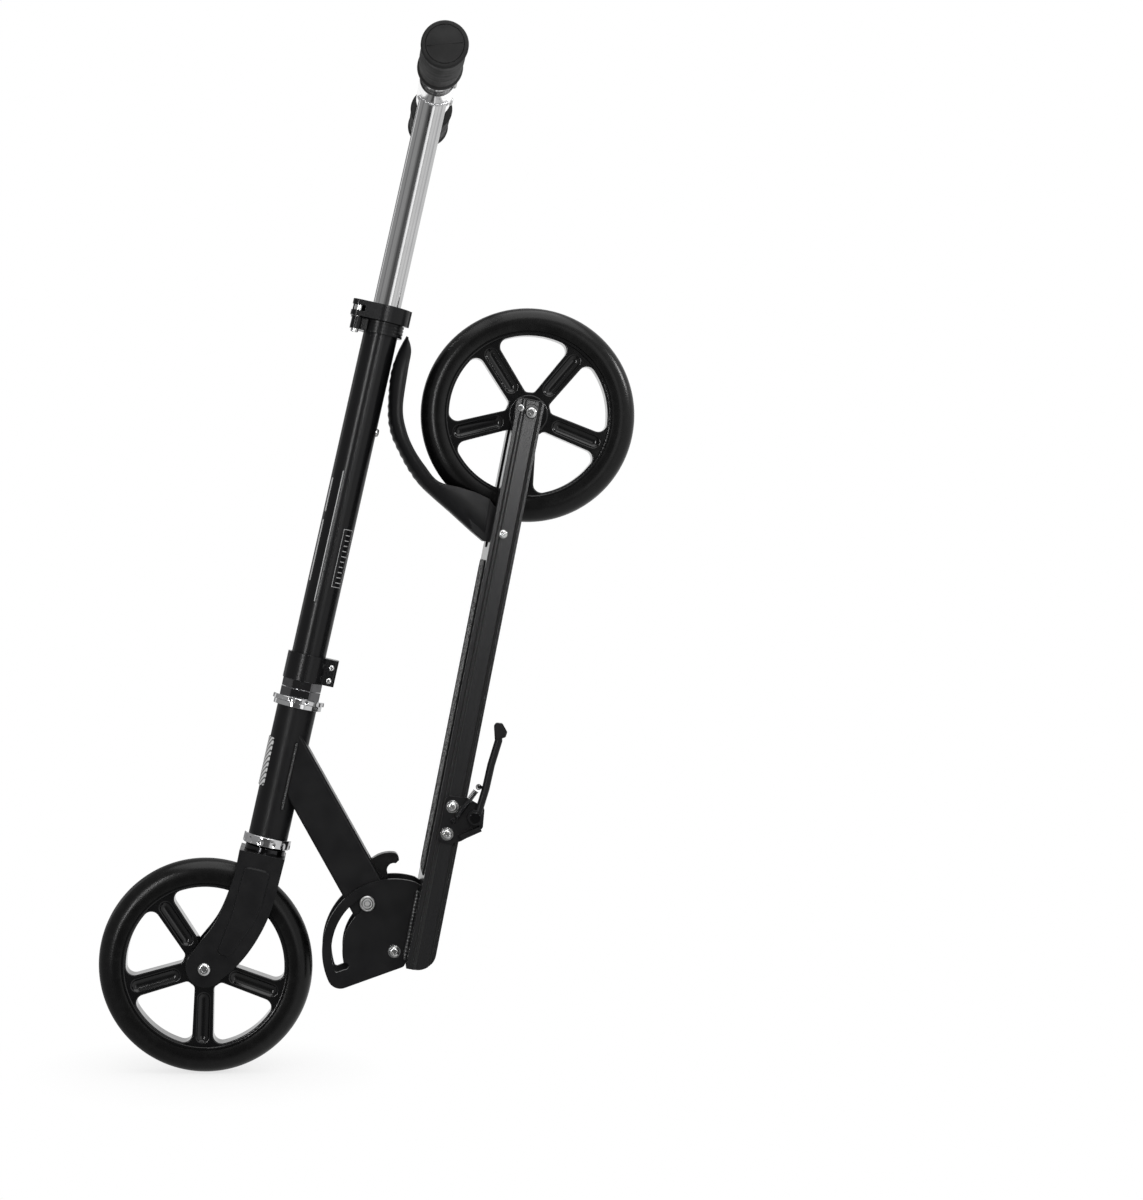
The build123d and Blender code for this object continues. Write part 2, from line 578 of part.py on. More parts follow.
# ---------------------------------------------------------------- deck
def deck():
    """Hollow extrusion with a wheel well in its tail and a radiused front lower corner."""
    half = DECK_HALF_W
    right = [(half, DECK_TOP), (half, -15.6), (half - 0.8, -16.0), (half - 0.8, -16.8),
             (half, -17.2), (half, -18.8), (half - 1.5, -19.8), (half - 1.5, -31.6),
             (half - 2.8, -32.2), (half - 2.8, -34.0), (half - 1.0, -34.4), (half - 1.0, DECK_BOTTOM)]
    section = Polygon(*right, *[(-y, v) for y, v in reversed(right)], align=None)
    length = DECK_REAR - DECK_FRONT
    beam = Pos(DECK_FRONT, 0, 0) * extrude(Plane.YZ * section, amount=length, dir=(1, 0, 0))
    for y0, y1 in ((-48.5, -26.0), (26.0, 48.5)):
        beam -= block((6.0, DECK_REAR + 1), (y0, y1), (DECK_BOTTOM + 2.6, DECK_TOP - 2.6))
    beam -= block((6.0, WELL_FRONT + 1), (-23.4, 23.4), (DECK_BOTTOM + 2.6, DECK_TOP - 2.6))
    well = block((WELL_FRONT, DECK_REAR + 1), (-WELL_HALF_W, WELL_HALF_W), (-50, 0))
    well = fillet(well.edges().filter_by(Axis.Z).sort_by(Axis.X)[:2], 8.0)
    beam -= well
    corner = block((DECK_FRONT - 1, 8.5), (-60, 60), (-50, -19.8)) - y_rod(17.0, -61, 61, 8.5, -19.8)
    beam -= corner & block((DECK_FRONT - 2, 8.5), (-60, 60), (-51, -19.8))
    beam -= y_rod(AXLE_R + 0.02, -60, 60, REAR_AXLE_U, REAR_AXLE_V)
    beam -= y_rod(FENDER_BOLT_R + 0.02, -60, 60, FENDER_U, FENDER_V)
    for side in (-1, 1):
        low, high = sorted((side * 49.3, side * 60))
        beam -= y_rod(8.0, low, high, REAR_AXLE_U, REAR_AXLE_V)
        beam -= y_rod(7.6, *sorted((side * 50.5, side * 60)), FENDER_U, FENDER_V)
        beam -= y_rod(1.62, *sorted((side * 49.4, side * 60)), REAR_AXLE_U + SCREW_DU, DECK_TOP - SCREW_DV)
    for u in STAND_BOLTS_U:
        beam -= y_rod(3.02, -60, -40, u, STAND_BOLT_V)
    return DECK * beam


def end_cap_block(y0, y1):
    """Plug that closes one of the tail's hollow chambers."""
    plug = block((DECK_REAR - 10, DECK_REAR), (y0, y1), (DECK_BOTTOM + 2.7, DECK_TOP - 2.7))
    flange = block((DECK_REAR, DECK_REAR + 1.6), (y0 - 1.6, y1 + 1.6),
                   (DECK_BOTTOM + 0.8, DECK_TOP - 0.8))
    flange = chamfer(flange.faces().sort_by(Axis.X)[-1].edges(), 0.7)
    whole = plug + flange - y_rod(AXLE_R + 0.3, -60, 60, REAR_AXLE_U, REAR_AXLE_V)
    return DECK * whole


def grip_tape():
    """Abrasive sheet on the tread, ending short of the fender."""
    sheet = block((76.0, 372.0), (-44.0, 44.0), (DECK_TOP, DECK_TOP + 1.0))
    return DECK * fillet(sheet.edges().filter_by(Axis.Z), 10.0)


def fold_plate(side):
    """Ear that stands on the deck beside the neck, with the arc slot for the lock pin."""
    corner = (-31.9, 44.7)
    face = make_face([
        ThreePointArc(polar(PLATE_R, -6), polar(PLATE_R, 60), polar(PLATE_R, 125.5)),
        ThreePointArc(polar(PLATE_R, 125.5), (corner[0] - 11.78, corner[1] - 2.3), (-42.2, 38.5)),
        Line((-42.2, 38.5), (-13.6, -9.2)),
        ThreePointArc((-13.6, -9.2), (-11.6, -11.4), (-9.0, DECK_TOP)),
        Line((-9.0, DECK_TOP), (64.6, DECK_TOP)),
        Line((64.6, DECK_TOP), polar(PLATE_R, -6)),
    ])
    first = 90 + NECK_DEG - DECK_DEG
    last = first + FOLD_TRAVEL
    slot = sector_band(SLOT_R_IN, SLOT_R_OUT, first - 3.6, last + 3.6)
    slot = fillet(slot.vertices(), 2.4)
    for deg in (first, last):
        notch = Rot(0, 0, deg) * (Pos(50.0, 0) * Rectangle(5.6, 6.4) + Pos(47.4, 0) * Circle(3.2))
        slot += notch
    low, high = sorted((side * PLATE_IN, side * PLATE_OUT))
    plate = side_plate(face, low, high) - side_plate(slot, low - 1, high + 1)
    return DECK * (plate - y_rod(AXLE_R + 0.02, -30, 30))


def fold_bolt():
    """Button head bolt through both ears and the neck, with a washer under its head."""
    washer = y_tube(5.8, AXLE_R, -PLATE_OUT - 1.0, -PLATE_OUT)
    head = dome_head(4.9, 3.4, -PLATE_OUT - 1.0, -1)
    return DECK * (washer + head + y_rod(AXLE_R, -PLATE_OUT - 1.0, PLATE_OUT + 6.5))


def fold_nut():
    """Lock nut on the far end of the fold bolt."""
    nut = Pos(0, PLATE_OUT + 6.0, 0) * Rot(90, 0, 0) * extrude(RegularPolygon(7.0, 6), amount=6.0)
    nut = fillet(nut.faces().sort_by(Axis.Y)[-1].edges(), 0.8)
    return DECK * (nut - y_rod(AXLE_R + 0.02, 0, 40))


def retaining_screws():
    """Small screws beside the rear axle's ends."""
    def screw(side):
        head = dome_head(3.4, 2.4, side * 52.0, side)
        low, high = sorted((side * 49.5, side * 52.0))
        return DECK * Pos(REAR_AXLE_U + SCREW_DU, 0, DECK_TOP - SCREW_DV) * (head + y_rod(1.6, low, high))

    return group("axle_retaining_screws", both_sides(screw))


# ---------------------------------------------------------------- kickstand
def stand_bracket():
    """Plate on the deck's side with a lug for the stand's pin, a spring post and a stop tab."""
    outline = Polygon((112, -17.5), (154, -17.5), (156, -36), (150, -54), (131, -56),
                      (116, -39), (111, -30), align=None)
    plate = side_plate(fillet(outline.vertices(), 4.5), -55.0, -DECK_HALF_W)
    tab = side_plate(Polygon((118.0, -38.6), (121.4, -35.4), (133.2, -52.4), (129.4, -54.8), align=None),
                     -66.0, -DECK_HALF_W - 0.4)
    post = y_rod(1.5, STAND_MID_Y - 2.0, -54.0, *SPRING_POST)
    plate = plate + tab + post - y_rod(3.0 + RUN, -70, -40, *STAND_PIVOT)
    for u in STAND_BOLTS_U:
        plate -= y_rod(3.02, -70, -40, u, STAND_BOLT_V)
    return DECK * plate


def stand_bolts():
    """Two button head bolts with washers that hold the bracket."""
    bolts = []
    for u in STAND_BOLTS_U:
        bolt = y_tube(5.8, 2.9, -56.2, -55.0) + dome_head(4.6, 3.4, -56.2, -1) + y_rod(3.0, -56.2, -47.0)
        bolts.append(DECK * Pos(u, 0, STAND_BOLT_V) * bolt)
    return group("kickstand_bolts", bolts)


def stand_pin():
    """Rivet that the stand turns on."""
    u, v = STAND_PIVOT
    rivet = y_rod(3.0, -63.5, -52.0) + y_rod(5.0, -65.0, -63.4) + y_rod(4.6, -52.0, -50.6)
    return DECK * Pos(u, 0, v) * rivet


def kickstand():
    """Flat boss on the pin, bent rod leg with a spring eye, flattened foot."""
    u, v = STAND_PIVOT
    y = STAND_MID_Y
    body = y_rod(7.0, -63.2, -55.3, u, v)
    bends = [(u + 5.6, v - 1.9), (168.0, -51.2), (190.0, -51.8), (213.0, -54.2), (225.5, -51.0)]
    for (u0, v0), (u1, v1) in zip(bends, bends[1:]):
        run = math.hypot(u1 - u0, v1 - v0)
        deg = math.degrees(math.atan2(v1 - v0, u1 - u0))
        rod = Pos(u0, y, v0) * Rot(0, -deg, 0) * Pos(run / 2, 0, 0) * Rot(0, 90, 0) * Cylinder(STAND_ROD_R, run)
        body += rod + Pos(u1, y, v1) * Sphere(STAND_ROD_R)
    sole = Polygon((213, -52.0), (217.5, -59.6), (222.5, -60.2), (229.2, -54.6), (228.4, -48.6), (222, -48.4),
                   align=None)
    body += side_plate(fillet(sole.vertices(), 1.6), y - 4.4, y + 4.4)
    eye_u, eye_v = STAND_EYE
    body += y_rod(1.5, y - 1.8, y + 2.9, eye_u, eye_v)
    body += block((eye_u - 1.4, eye_u + 1.4), (y + 1.2, y + 2.9), (eye_v - 6.0, eye_v))
    return DECK * (body - y_rod(3.0 + RUN, -70, -40, u, v))


def stand_spring():
    """Over-centre tension spring from the bracket's post to the leg's eye, with looped ends."""
    (u0, v0), (u1, v1) = SPRING_POST, STAND_EYE
    run = math.hypot(u1 - u0, v1 - v0)
    deg = math.degrees(math.atan2(v1 - v0, u1 - u0))
    pitch, eye_r, wire_r = 1.3, 2.3, 0.42
    turns = int((run - 2 * eye_r - 3) / pitch)
    body = Pos((run - turns * pitch) / 2, 0, 0) * Rot(0, 90, 0) * coil(eye_r, wire_r, pitch, turns)
    loops = [Pos(end, 0, 0) * Rot(90, 0, 0) * Torus(eye_r, wire_r) for end in (0, run)]
    place = DECK * Pos(u0, STAND_MID_Y, v0) * Rot(0, -deg, 0)
    return group("kickstand_spring", [place * shape for shape in [body] + loops])


# ---------------------------------------------------------------- fender brake
def inset(points, distance):
    """Points moved sideways from an open outline, to the right of its direction."""
    moved = []
    for k, (x, y) in enumerate(points):
        x0, y0 = points[max(k - 1, 0)]
        x1, y1 = points[min(k + 1, len(points) - 1)]
        run = math.hypot(x1 - x0, y1 - y0)
        moved.append((x + (y1 - y0) / run * distance, y - (x1 - x0) / run * distance))
    return moved


def brake_fender():
    """Pressed channel over the wheel: crown, side skirts, wings down to its bolt."""
    inner = inset(FENDER_OUTER, FENDER_SHEET)
    crown = make_face([
        Spline(*FENDER_OUTER),
        Line(FENDER_OUTER[-1], inner[-1]),
        Spline(*reversed(inner)),
        Line(inner[0], FENDER_OUTER[0]),
    ])
    skirt_edge = [FENDER_OUTER[-1], (552.8, 91.4), (530.2, 91.6), (496.1, 89.6), (476.4, 82.6),
                  (460.7, 72.4), (447.1, 59.2), (435.4, 44.1)]
    wing_edge = [(435.4, 44.1), (433.4, 22.5), (431.6, 7.5), (428.2, -6.3)]
    cheek = make_face([
        Spline(*FENDER_OUTER),
        Spline(*skirt_edge),
        Spline(*wing_edge),
        Line(wing_edge[-1], (405.0, -27.0)),
        ThreePointArc((405.0, -27.0), (397.6, -30.8), (390.2, -24.0)),
        Line((390.2, -24.0), FENDER_OUTER[0]),
    ])
    shell = side_plate(crown, -FENDER_HALF_W, FENDER_HALF_W)
    shell += side_plate(cheek, -FENDER_HALF_W, -FENDER_HALF_W + FENDER_SHEET)
    shell += side_plate(cheek, FENDER_HALF_W - FENDER_SHEET, FENDER_HALF_W)
    return DECK * (shell - y_rod(FENDER_BOLT_R + RUN, -30, 30, FENDER_U, FENDER_V))


def brake_pad():
    """Wear pad under the crown, hollowed to the tyre's curve."""
    lean = math.degrees(math.atan2(31.2, 18.4))
    pad = block((-12, 12), (-9, 9), (-14.4, -FENDER_SHEET - 0.25))
    pad = Pos(413.0, 0, 34.2) * Rot(0, -lean, 0) * pad
    return DECK * (pad - y_rod(WHEEL_R + 5.8, -20, 20, REAR_AXLE_U, REAR_AXLE_V))


def fender_bolt():
    """Long bolt across the tail that the fender turns on."""
    half = DECK_HALF_W
    bolt = dome_head(4.4, 3.2, -half + 1.5, -1) + y_rod(FENDER_BOLT_R, -half + 1.5, half + 4.0)
    return DECK * Pos(FENDER_U, 0, FENDER_V) * bolt


def fender_nut():
    """Nut on the far end of the fender bolt."""
    half = DECK_HALF_W - 1.5
    nut = Pos(0, half + 5.0, 0) * Rot(90, 0, 0) * extrude(RegularPolygon(5.6, 6), amount=5.0)
    return DECK * Pos(FENDER_U, 0, FENDER_V) * (nut - y_rod(FENDER_BOLT_R + 0.02, 0, 60))


def fender_spring():
    """Torsion spring round the fender bolt, one leg up the fender and one along the deck."""
    coil_r, wire_r, pitch, turns = 6.4, 0.9, 2.1, 9
    body = Pos(0, pitch * turns / 2, 0) * Rot(90, 0, 0) * coil(coil_r, wire_r, pitch, turns)
    up = Pos(coil_r, pitch * turns / 2, 8.0) * Cylinder(wire_r, 16.0)
    return DECK * Pos(FENDER_U, 0, FENDER_V) * (body + up)


# ---------------------------------------------------------------- fold lock
def lock_slider():
    """Finger hook behind the neck, in one piece with the block that slides inside it."""
    slide = block((-12.0, 19.2), (-11.0, 11.0), (42.5, 67.0))
    finger = make_face([
        Line((18.0, 60.2), (27.5, 60.2)),
        Line((27.5, 60.2), (30.0, 67.0)),
        ThreePointArc((30.0, 67.0), (34.8, 70.4), (40.4, 68.6)),
        Line((40.4, 68.6), (44.4, 69.6)),
        ThreePointArc((44.4, 69.6), (45.6, 73.4), (44.6, 77.4)),
        ThreePointArc((44.6, 77.4), (34.0, 82.6), (22.4, 82.8)),
        Line((22.4, 82.8), (18.0, 82.8)),
        Line((18.0, 82.8), (18.0, 60.2)),
    ])
    hook = side_plate(finger, -6.0, 6.0)
    hook = fillet(hook.edges().filter_by(Axis.Y).sort_by(Axis.X)[-2:], 1.2)
    return NECK * (slide + hook - y_rod(PIN_R + 0.02, -20, 20, 0, PIN_ORBIT))


def lock_pin():
    """Cross pin with a flat turned head on each side of the fold plates."""
    reach, head = 22.0, 3.2
    pin = y_rod(PIN_R, -reach - 0.5, reach + 0.5)
    for side in (-1, 1):
        low, high = sorted((side * reach, side * (reach + head)))
        cap = y_rod(7.1, low, high)
        cap = chamfer(cap.faces().sort_by(Axis.Y)[0 if side < 0 else -1].edges(), 0.7)
        groove_low, groove_high = sorted((side * (reach + head - 0.5), side * (reach + head + 1)))
        cap -= y_tube(5.2, 4.2, groove_low, groove_high)
        cap -= y_tube(3.2, 2.4, groove_low, groove_high)
        pin += cap
    return NECK * Pos(0, 0, PIN_ORBIT) * pin


# ---------------------------------------------------------------- the whole scooter
front_place = Pos(-HALF_BASE, 0, WHEEL_R)
rear_place = Pos((DECK * Pos(REAR_AXLE_U, 0, REAR_AXLE_V)).position)

parts = [
    ("head_tube", head_tube()),
    ("neck", neck()),
    ("head_badge", head_badge()),
    group("headset_cups", [headset_lower_cup(), headset_upper_cup()]),
    ("fold_bush", fold_bush()),
    ("lock_spring", lock_spring()),
    ("fork", fork()),
    ("fork_steerer", fork_steerer()),
    group("headset_bearings", [crown_race(), steering_bearing(121.3, 127.7, 19.2),
                               steering_bearing(255.9, 258.5, 19.3)]),
    ("dust_cap", dust_cap()),
    group("headset_nuts", [headset_nut(263.0, 270.6), headset_nut(271.0, 278.8)]),
    ("lower_stem_tube", lower_stem_tube()),
    ("stem_bush", stem_bush()),
    ("stem_clamp", stem_clamp()),
    stem_clamp_screws(),
    ("qr_collar", qr_collar()),
    group("qr_skewer", [qr_skewer(), qr_pin()]),
    ("qr_lever", qr_lever()),
    ("height_button", height_button()),
    ("height_leaf_spring", height_leaf()),
    *axle_set("front", front_place, 22.0, 27.0, 6.2),
    ("upper_tube", upper_tube()),
    ("t_sleeve", t_sleeve()),
    group("snap_leaf_springs", both_sides(snap_leaf)),
    ("left_snap_button", snap_button(-1)),
    ("right_snap_button", snap_button(1)),
    ("left_bar_tube", bar_tube(-1)),
    ("right_bar_tube", bar_tube(1)),
    ("left_grip", grip(-1)),
    ("right_grip", grip(1)),
    *wheel("front_wheel", front_place, FRONT_SPOKE_DEG),
    *wheel("rear_wheel", rear_place, REAR_SPOKE_DEG),
    ("deck", deck()),
    group("deck_end_caps", [end_cap_block(-48.4, -26.1), end_cap_block(26.1, 48.4)]),
    ("grip_tape", grip_tape()),
    group("fold_plates", both_sides(fold_plate)),
    group("deck_cross_bolts", [fold_bolt(), fender_bolt()]),
    group("deck_cross_nuts", [fold_nut(), fender_nut()]),
    *axle_set("rear", rear_place, WELL_HALF_W, 49.3, 5.4),
    retaining_screws(),
    ("kickstand_bracket", stand_bracket()),
    stand_bolts(),
    ("kickstand_pin", stand_pin()),
    ("kickstand", kickstand()),
    stand_spring(),
    ("brake_fender", brake_fender()),
    ("brake_pad", brake_pad()),
    ("fender_spring", fender_spring()),
    ("lock_slider", lock_slider()),
    ("lock_pin", lock_pin()),
]

os.makedirs("parts", exist_ok=True)
for node, shape in parts:
    export_step(shape, "parts/" + node + ".step")
    solids = shape.solids()
    print(f"{node:26s} {len(solids)} solid(s) {sum(s.volume for s in solids) / 1000:9.2f} cm3")
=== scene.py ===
"""Looks of a folding kick scooter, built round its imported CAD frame.

Metres, row frame: +X towards the tail, -Y the rider's left, +Z up.
Working frames sit at the real joints: STEM on the steering axis, level with the front axle, NECK and
DECK on the fold bolt, BAR in the middle of the handlebar's cross sleeve. In each of them local Z is
the part's own up, X lies rearward in the scooter's mid plane, and Y is the row frame's Y.
"""
import json
import math
import random

import bmesh
import bpy
from mathutils import Matrix, Vector

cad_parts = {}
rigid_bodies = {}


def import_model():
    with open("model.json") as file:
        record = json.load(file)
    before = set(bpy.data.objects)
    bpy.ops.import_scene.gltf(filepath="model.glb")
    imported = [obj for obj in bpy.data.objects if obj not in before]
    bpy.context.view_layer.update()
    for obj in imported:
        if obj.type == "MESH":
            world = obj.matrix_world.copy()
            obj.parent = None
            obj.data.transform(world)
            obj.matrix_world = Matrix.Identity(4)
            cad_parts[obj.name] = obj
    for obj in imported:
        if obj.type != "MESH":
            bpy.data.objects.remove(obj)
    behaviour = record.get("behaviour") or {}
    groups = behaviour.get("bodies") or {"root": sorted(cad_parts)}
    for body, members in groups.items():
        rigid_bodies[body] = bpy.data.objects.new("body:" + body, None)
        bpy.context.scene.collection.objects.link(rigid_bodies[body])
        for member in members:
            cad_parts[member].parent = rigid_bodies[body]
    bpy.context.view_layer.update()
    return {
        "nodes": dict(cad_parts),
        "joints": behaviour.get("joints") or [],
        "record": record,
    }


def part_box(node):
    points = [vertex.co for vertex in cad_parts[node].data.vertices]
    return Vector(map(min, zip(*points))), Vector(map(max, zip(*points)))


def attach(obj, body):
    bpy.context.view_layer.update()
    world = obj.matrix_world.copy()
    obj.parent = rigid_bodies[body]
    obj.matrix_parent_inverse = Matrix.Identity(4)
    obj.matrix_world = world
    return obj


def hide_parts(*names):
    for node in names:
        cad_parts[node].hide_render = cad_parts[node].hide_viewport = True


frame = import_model()
nodes = frame["nodes"]
joints = {joint["name"]: joint for joint in frame["joints"]}
mounts = {mount["name"]: mount for mount in frame["record"]["mounts"]}
random.seed(11)
MM = 0.001


# ---------------------------------------------------------------- working frames
def working_frame(origin, up):
    """Frame in the mid plane: local Z along up, local X to the rear of it."""
    z = Vector(up).normalized()
    y = Vector((0, 1, 0))
    turn = Matrix((y.cross(z), y, z)).transposed().to_4x4()
    return Matrix.Translation(origin) @ turn


def middle(node):
    """Centre of a CAD node's box."""
    low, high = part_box(node)
    return (low + high) / 2


def foot_on_axis(point, start, axis):
    """Point of a line that is nearest to another point."""
    axis = Vector(axis).normalized()
    return Vector(start) + axis * (Vector(point) - Vector(start)).dot(axis)


steering = joints["steering_turn"]
FRONT_AXLE = Vector(joints["front_wheel_spin"]["pos_m"])
REAR_AXLE = Vector(joints["rear_wheel_spin"]["pos_m"])
STEM = working_frame(foot_on_axis(FRONT_AXLE, steering["pos_m"], steering["axis"]), steering["axis"])
NECK = working_frame(joints["fold"]["pos_m"], joints["lock_pull"]["axis"])
DECK = working_frame(joints["fold"]["pos_m"], mounts["tread"]["axis"])
BAR = working_frame(middle("t_sleeve"), steering["axis"])


# ---------------------------------------------------------------- materials
class Finish:
    """Principled material whose fine detail comes from nodes in the object's own coordinates."""

    def __init__(self, name, colour, roughness, **values):
        self.material = bpy.data.materials.new(name)
        self.material.use_nodes = True
        self.tree = self.material.node_tree
        self.shader = self.tree.nodes["Principled BSDF"]
        self.shader.inputs["Base Color"].default_value = (*colour, 1)
        self.shader.inputs["Roughness"].default_value = roughness
        for socket, value in values.items():
            self.shader.inputs[socket.replace("_", " ")].default_value = value
        self.colour = colour
        self.height = None

    def add(self, kind, inputs=None, **settings):
        """New node with its settings and inputs; an input is a socket or a plain value."""
        node = self.tree.nodes.new(kind)
        for key, value in settings.items():
            setattr(node, key, value)
        for key, value in (inputs or {}).items():
            if isinstance(value, bpy.types.NodeSocket):
                self.tree.links.new(value, node.inputs[key])
            else:
                node.inputs[key].default_value = value
        return node

    def coords(self, place=None, stretch=(1, 1, 1)):
        """Object coordinates in a working frame, divided by stretch along its axes."""
        place = place or Matrix()
        source = self.add("ShaderNodeTexCoord").outputs["Object"]
        values = {
            "Vector": source,
            "Location": place.to_translation(),
            "Rotation": place.to_euler(),
            "Scale": stretch,
        }
        return self.add("ShaderNodeMapping", values, vector_type="TEXTURE").outputs["Vector"]

    def noise(self, scale, detail=3.0, vector=None):
        values = {"Vector": vector or self.coords(), "Scale": scale, "Detail": detail}
        return self.add("ShaderNodeTexNoise", values).outputs["Fac"]

    def cells(self, scale, vector=None):
        values = {"Vector": vector or self.coords(), "Scale": scale}
        return self.add("ShaderNodeTexVoronoi", values).outputs["Distance"]

    def math(self, operation, first, second=0.0):
        return self.add("ShaderNodeMath", {0: first, 1: second}, operation=operation).outputs[0]

    def span(self, value, low, high, out_low=0.0, out_high=1.0):
        """Value moved from one range to another and held inside it."""
        inputs = {"Value": value, "From Min": low, "From Max": high, "To Min": out_low, "To Max": out_high}
        return self.add("ShaderNodeMapRange", inputs).outputs["Result"]

    def axes(self, vector):
        return self.add("ShaderNodeSeparateXYZ", {"Vector": vector}).outputs

    def rough(self, value, low, high):
        """Roughness that wanders between two values."""
        self.tree.links.new(self.span(value, 0.3, 0.7, low, high), self.shader.inputs["Roughness"])

    def tint(self, value, other, low=0.3, high=0.7):
        """Colour that goes over to another one where value is high."""
        mix = self.add("ShaderNodeMix", {"Factor": self.span(value, low, high)}, data_type="RGBA")
        current = self.shader.inputs["Base Color"]
        if current.is_linked:
            self.tree.links.new(current.links[0].from_socket, mix.inputs[6])
        else:
            mix.inputs[6].default_value = (*self.colour, 1)
        mix.inputs[7].default_value = (*other, 1)
        self.tree.links.new(mix.outputs[2], current)

    def bump(self, height, distance, strength=1.0, edge=0.0):
        """Relief in metres on top of what is there; edge rounds the sharp edges by that radius."""
        node = self.add("ShaderNodeBump", {"Height": height, "Distance": distance, "Strength": strength})
        if self.height:
            self.tree.links.new(self.height.outputs["Normal"], node.inputs["Normal"])
        elif edge:
            rounded = self.add("ShaderNodeBevel", {"Radius": edge}, samples=6)
            self.tree.links.new(rounded.outputs["Normal"], node.inputs["Normal"])
        self.tree.links.new(node.outputs["Normal"], self.shader.inputs["Normal"])
        self.height = node


EDGE = 0.5 * MM          # rounding of edges that CAD leaves sharp
ALONG = 40.0             # how much longer than wide the drawing and polishing marks are


def black_paint(name="black_paint", gloss=0.36, shine=0.24):
    """Satin powder coat with its fine orange peel."""
    f = Finish(name, (0.0045, 0.0045, 0.005), gloss, Specular_IOR_Level=shine)
    f.rough(f.noise(70), gloss - 0.05, gloss + 0.06)
    f.tint(f.noise(18, 5), (0.007, 0.007, 0.0075), 0.45, 0.75)
    f.bump(f.noise(850, 2), 0.02 * MM, 0.5, EDGE)
    f.bump(f.noise(3200, 1), 0.006 * MM, 0.5)
    return f


def black_anodised():
    """Black anodised aluminium with drawing lines up the stem."""
    f = Finish("black_anodised", (0.004, 0.004, 0.0045), 0.25, Specular_IOR_Level=0.32)
    stretched = f.coords(STEM, (1, 1, ALONG))
    f.rough(f.noise(900, 2, stretched), 0.235, 0.265)
    f.tint(f.noise(25, 4), (0.005, 0.005, 0.0055), 0.4, 0.8)
    f.bump(f.noise(2600, 2, stretched), 0.0012 * MM, 0.4, EDGE)
    return f


def silver_tube():
    """Polished aluminium tube: fine lines and darker streaks along it, and a soft cloudiness."""
    f = Finish("silver_tube", (0.87, 0.87, 0.87), 0.14, Metallic=1.0)
    lines = f.noise(1800, 3, f.coords(STEM, (1, 1, ALONG)))
    f.rough(f.noise(240, 4, f.coords(STEM, (1, 1, ALONG / 2))), 0.11, 0.19)
    f.tint(f.noise(40, 5), (0.78, 0.78, 0.785), 0.45, 0.8)
    f.tint(f.noise(330, 2, f.coords(STEM, (1, 1, 20 * ALONG))), (0.58, 0.58, 0.59), 0.5, 0.62)
    f.bump(lines, 0.004 * MM, 0.5, EDGE)
    return f


def chrome(name="chrome", colour=(0.84, 0.84, 0.85)):
    """Bright plate over a cast surface, slightly uneven."""
    f = Finish(name, colour, 0.08, Metallic=1.0)
    f.rough(f.noise(400, 4), 0.05, 0.16)
    f.tint(f.noise(120, 3), [c * 0.78 for c in colour], 0.5, 0.8)
    f.bump(f.noise(400, 2), 0.015 * MM, 0.4, EDGE)
    return f


def zinc_steel():
    """Zinc plated steel with its mottled passivation and tool marks."""
    f = Finish("zinc_steel", (0.78, 0.78, 0.77), 0.26, Metallic=1.0)
    f.rough(f.noise(900, 4), 0.14, 0.26)
    f.tint(f.noise(260, 4), (0.66, 0.67, 0.68), 0.42, 0.7)
    f.bump(f.noise(1500, 2), 0.006 * MM, 0.3, 0.4 * EDGE)
    return f


def turned_steel():
    """Turned and plated face of the lock pin, with two dark rings round its axis painted as the shade
    inside turned grooves.
    """
    f = Finish("turned_steel", (0.8, 0.8, 0.79), 0.36, Metallic=1.0)
    pin_frame = NECK @ Matrix.Translation(NECK.inverted() @ middle("lock_pin"))
    x, _, z = f.axes(f.coords(pin_frame))
    squares = f.math("ADD", f.math("MULTIPLY", x, x), f.math("MULTIPLY", z, z))
    radius = f.math("SQRT", squares)
    # Painted shade: two near-black rings stand in for the shade inside turned grooves that the mesh does
    # not have.
    for ring in (2.8 * MM, 5.0 * MM):
        away = f.math("ABSOLUTE", f.math("SUBTRACT", radius, ring))
        f.tint(f.span(away, 0.6 * MM, 0.3 * MM), (0.04, 0.04, 0.04), 0.0, 1.0)
    f.rough(f.noise(900, 4), 0.3, 0.42)
    f.tint(f.noise(300, 4), (0.68, 0.68, 0.69), 0.42, 0.7)
    f.bump(f.noise(1500, 2), 0.01 * MM, 0.3, 0.4 * EDGE)
    return f


def bearing_steel():
    """Ground ring steel with turned lines round the axle."""
    f = Finish("bearing_steel", (0.52, 0.52, 0.54), 0.22, Metallic=1.0)
    f.rough(f.noise(700, 3), 0.16, 0.3)
    f.bump(f.noise(2500, 1, f.coords(None, (1, 0.05, 1))), 0.006 * MM, 0.5, 0.4 * EDGE)
    return f


def tyre_black():
    """Cast polyurethane: smooth, soft gloss, with dust in its pores near the tread."""
    f = Finish("tyre_black", (0.003, 0.003, 0.003), 0.26, Specular_IOR_Level=0.3)
    f.rough(f.noise(55, 4), 0.23, 0.29)
    f.tint(f.noise(160, 6), (0.006, 0.006, 0.006), 0.5, 0.75)
    f.bump(f.noise(400, 2), 0.0005 * MM, 0.3)
    return f


def core_plastic():
    """Moulded gloss nylon with faint flow marks."""
    f = Finish("core_plastic", (0.003, 0.003, 0.0035), 0.15, Specular_IOR_Level=0.5)
    f.rough(f.noise(90, 3), 0.12, 0.19)
    f.tint(f.noise(30, 4), (0.005, 0.005, 0.005), 0.4, 0.7)
    f.bump(f.noise(60, 2), 0.012 * MM, 0.2)
    return f


def black_plastic():
    """Matt moulded plastic with a spark-eroded grain."""
    f = Finish("black_plastic", (0.003, 0.003, 0.003), 0.32, Specular_IOR_Level=0.3)
    f.rough(f.noise(200, 3), 0.27, 0.38)
    f.bump(f.cells(1500), 0.012 * MM, 0.35, EDGE)
    return f


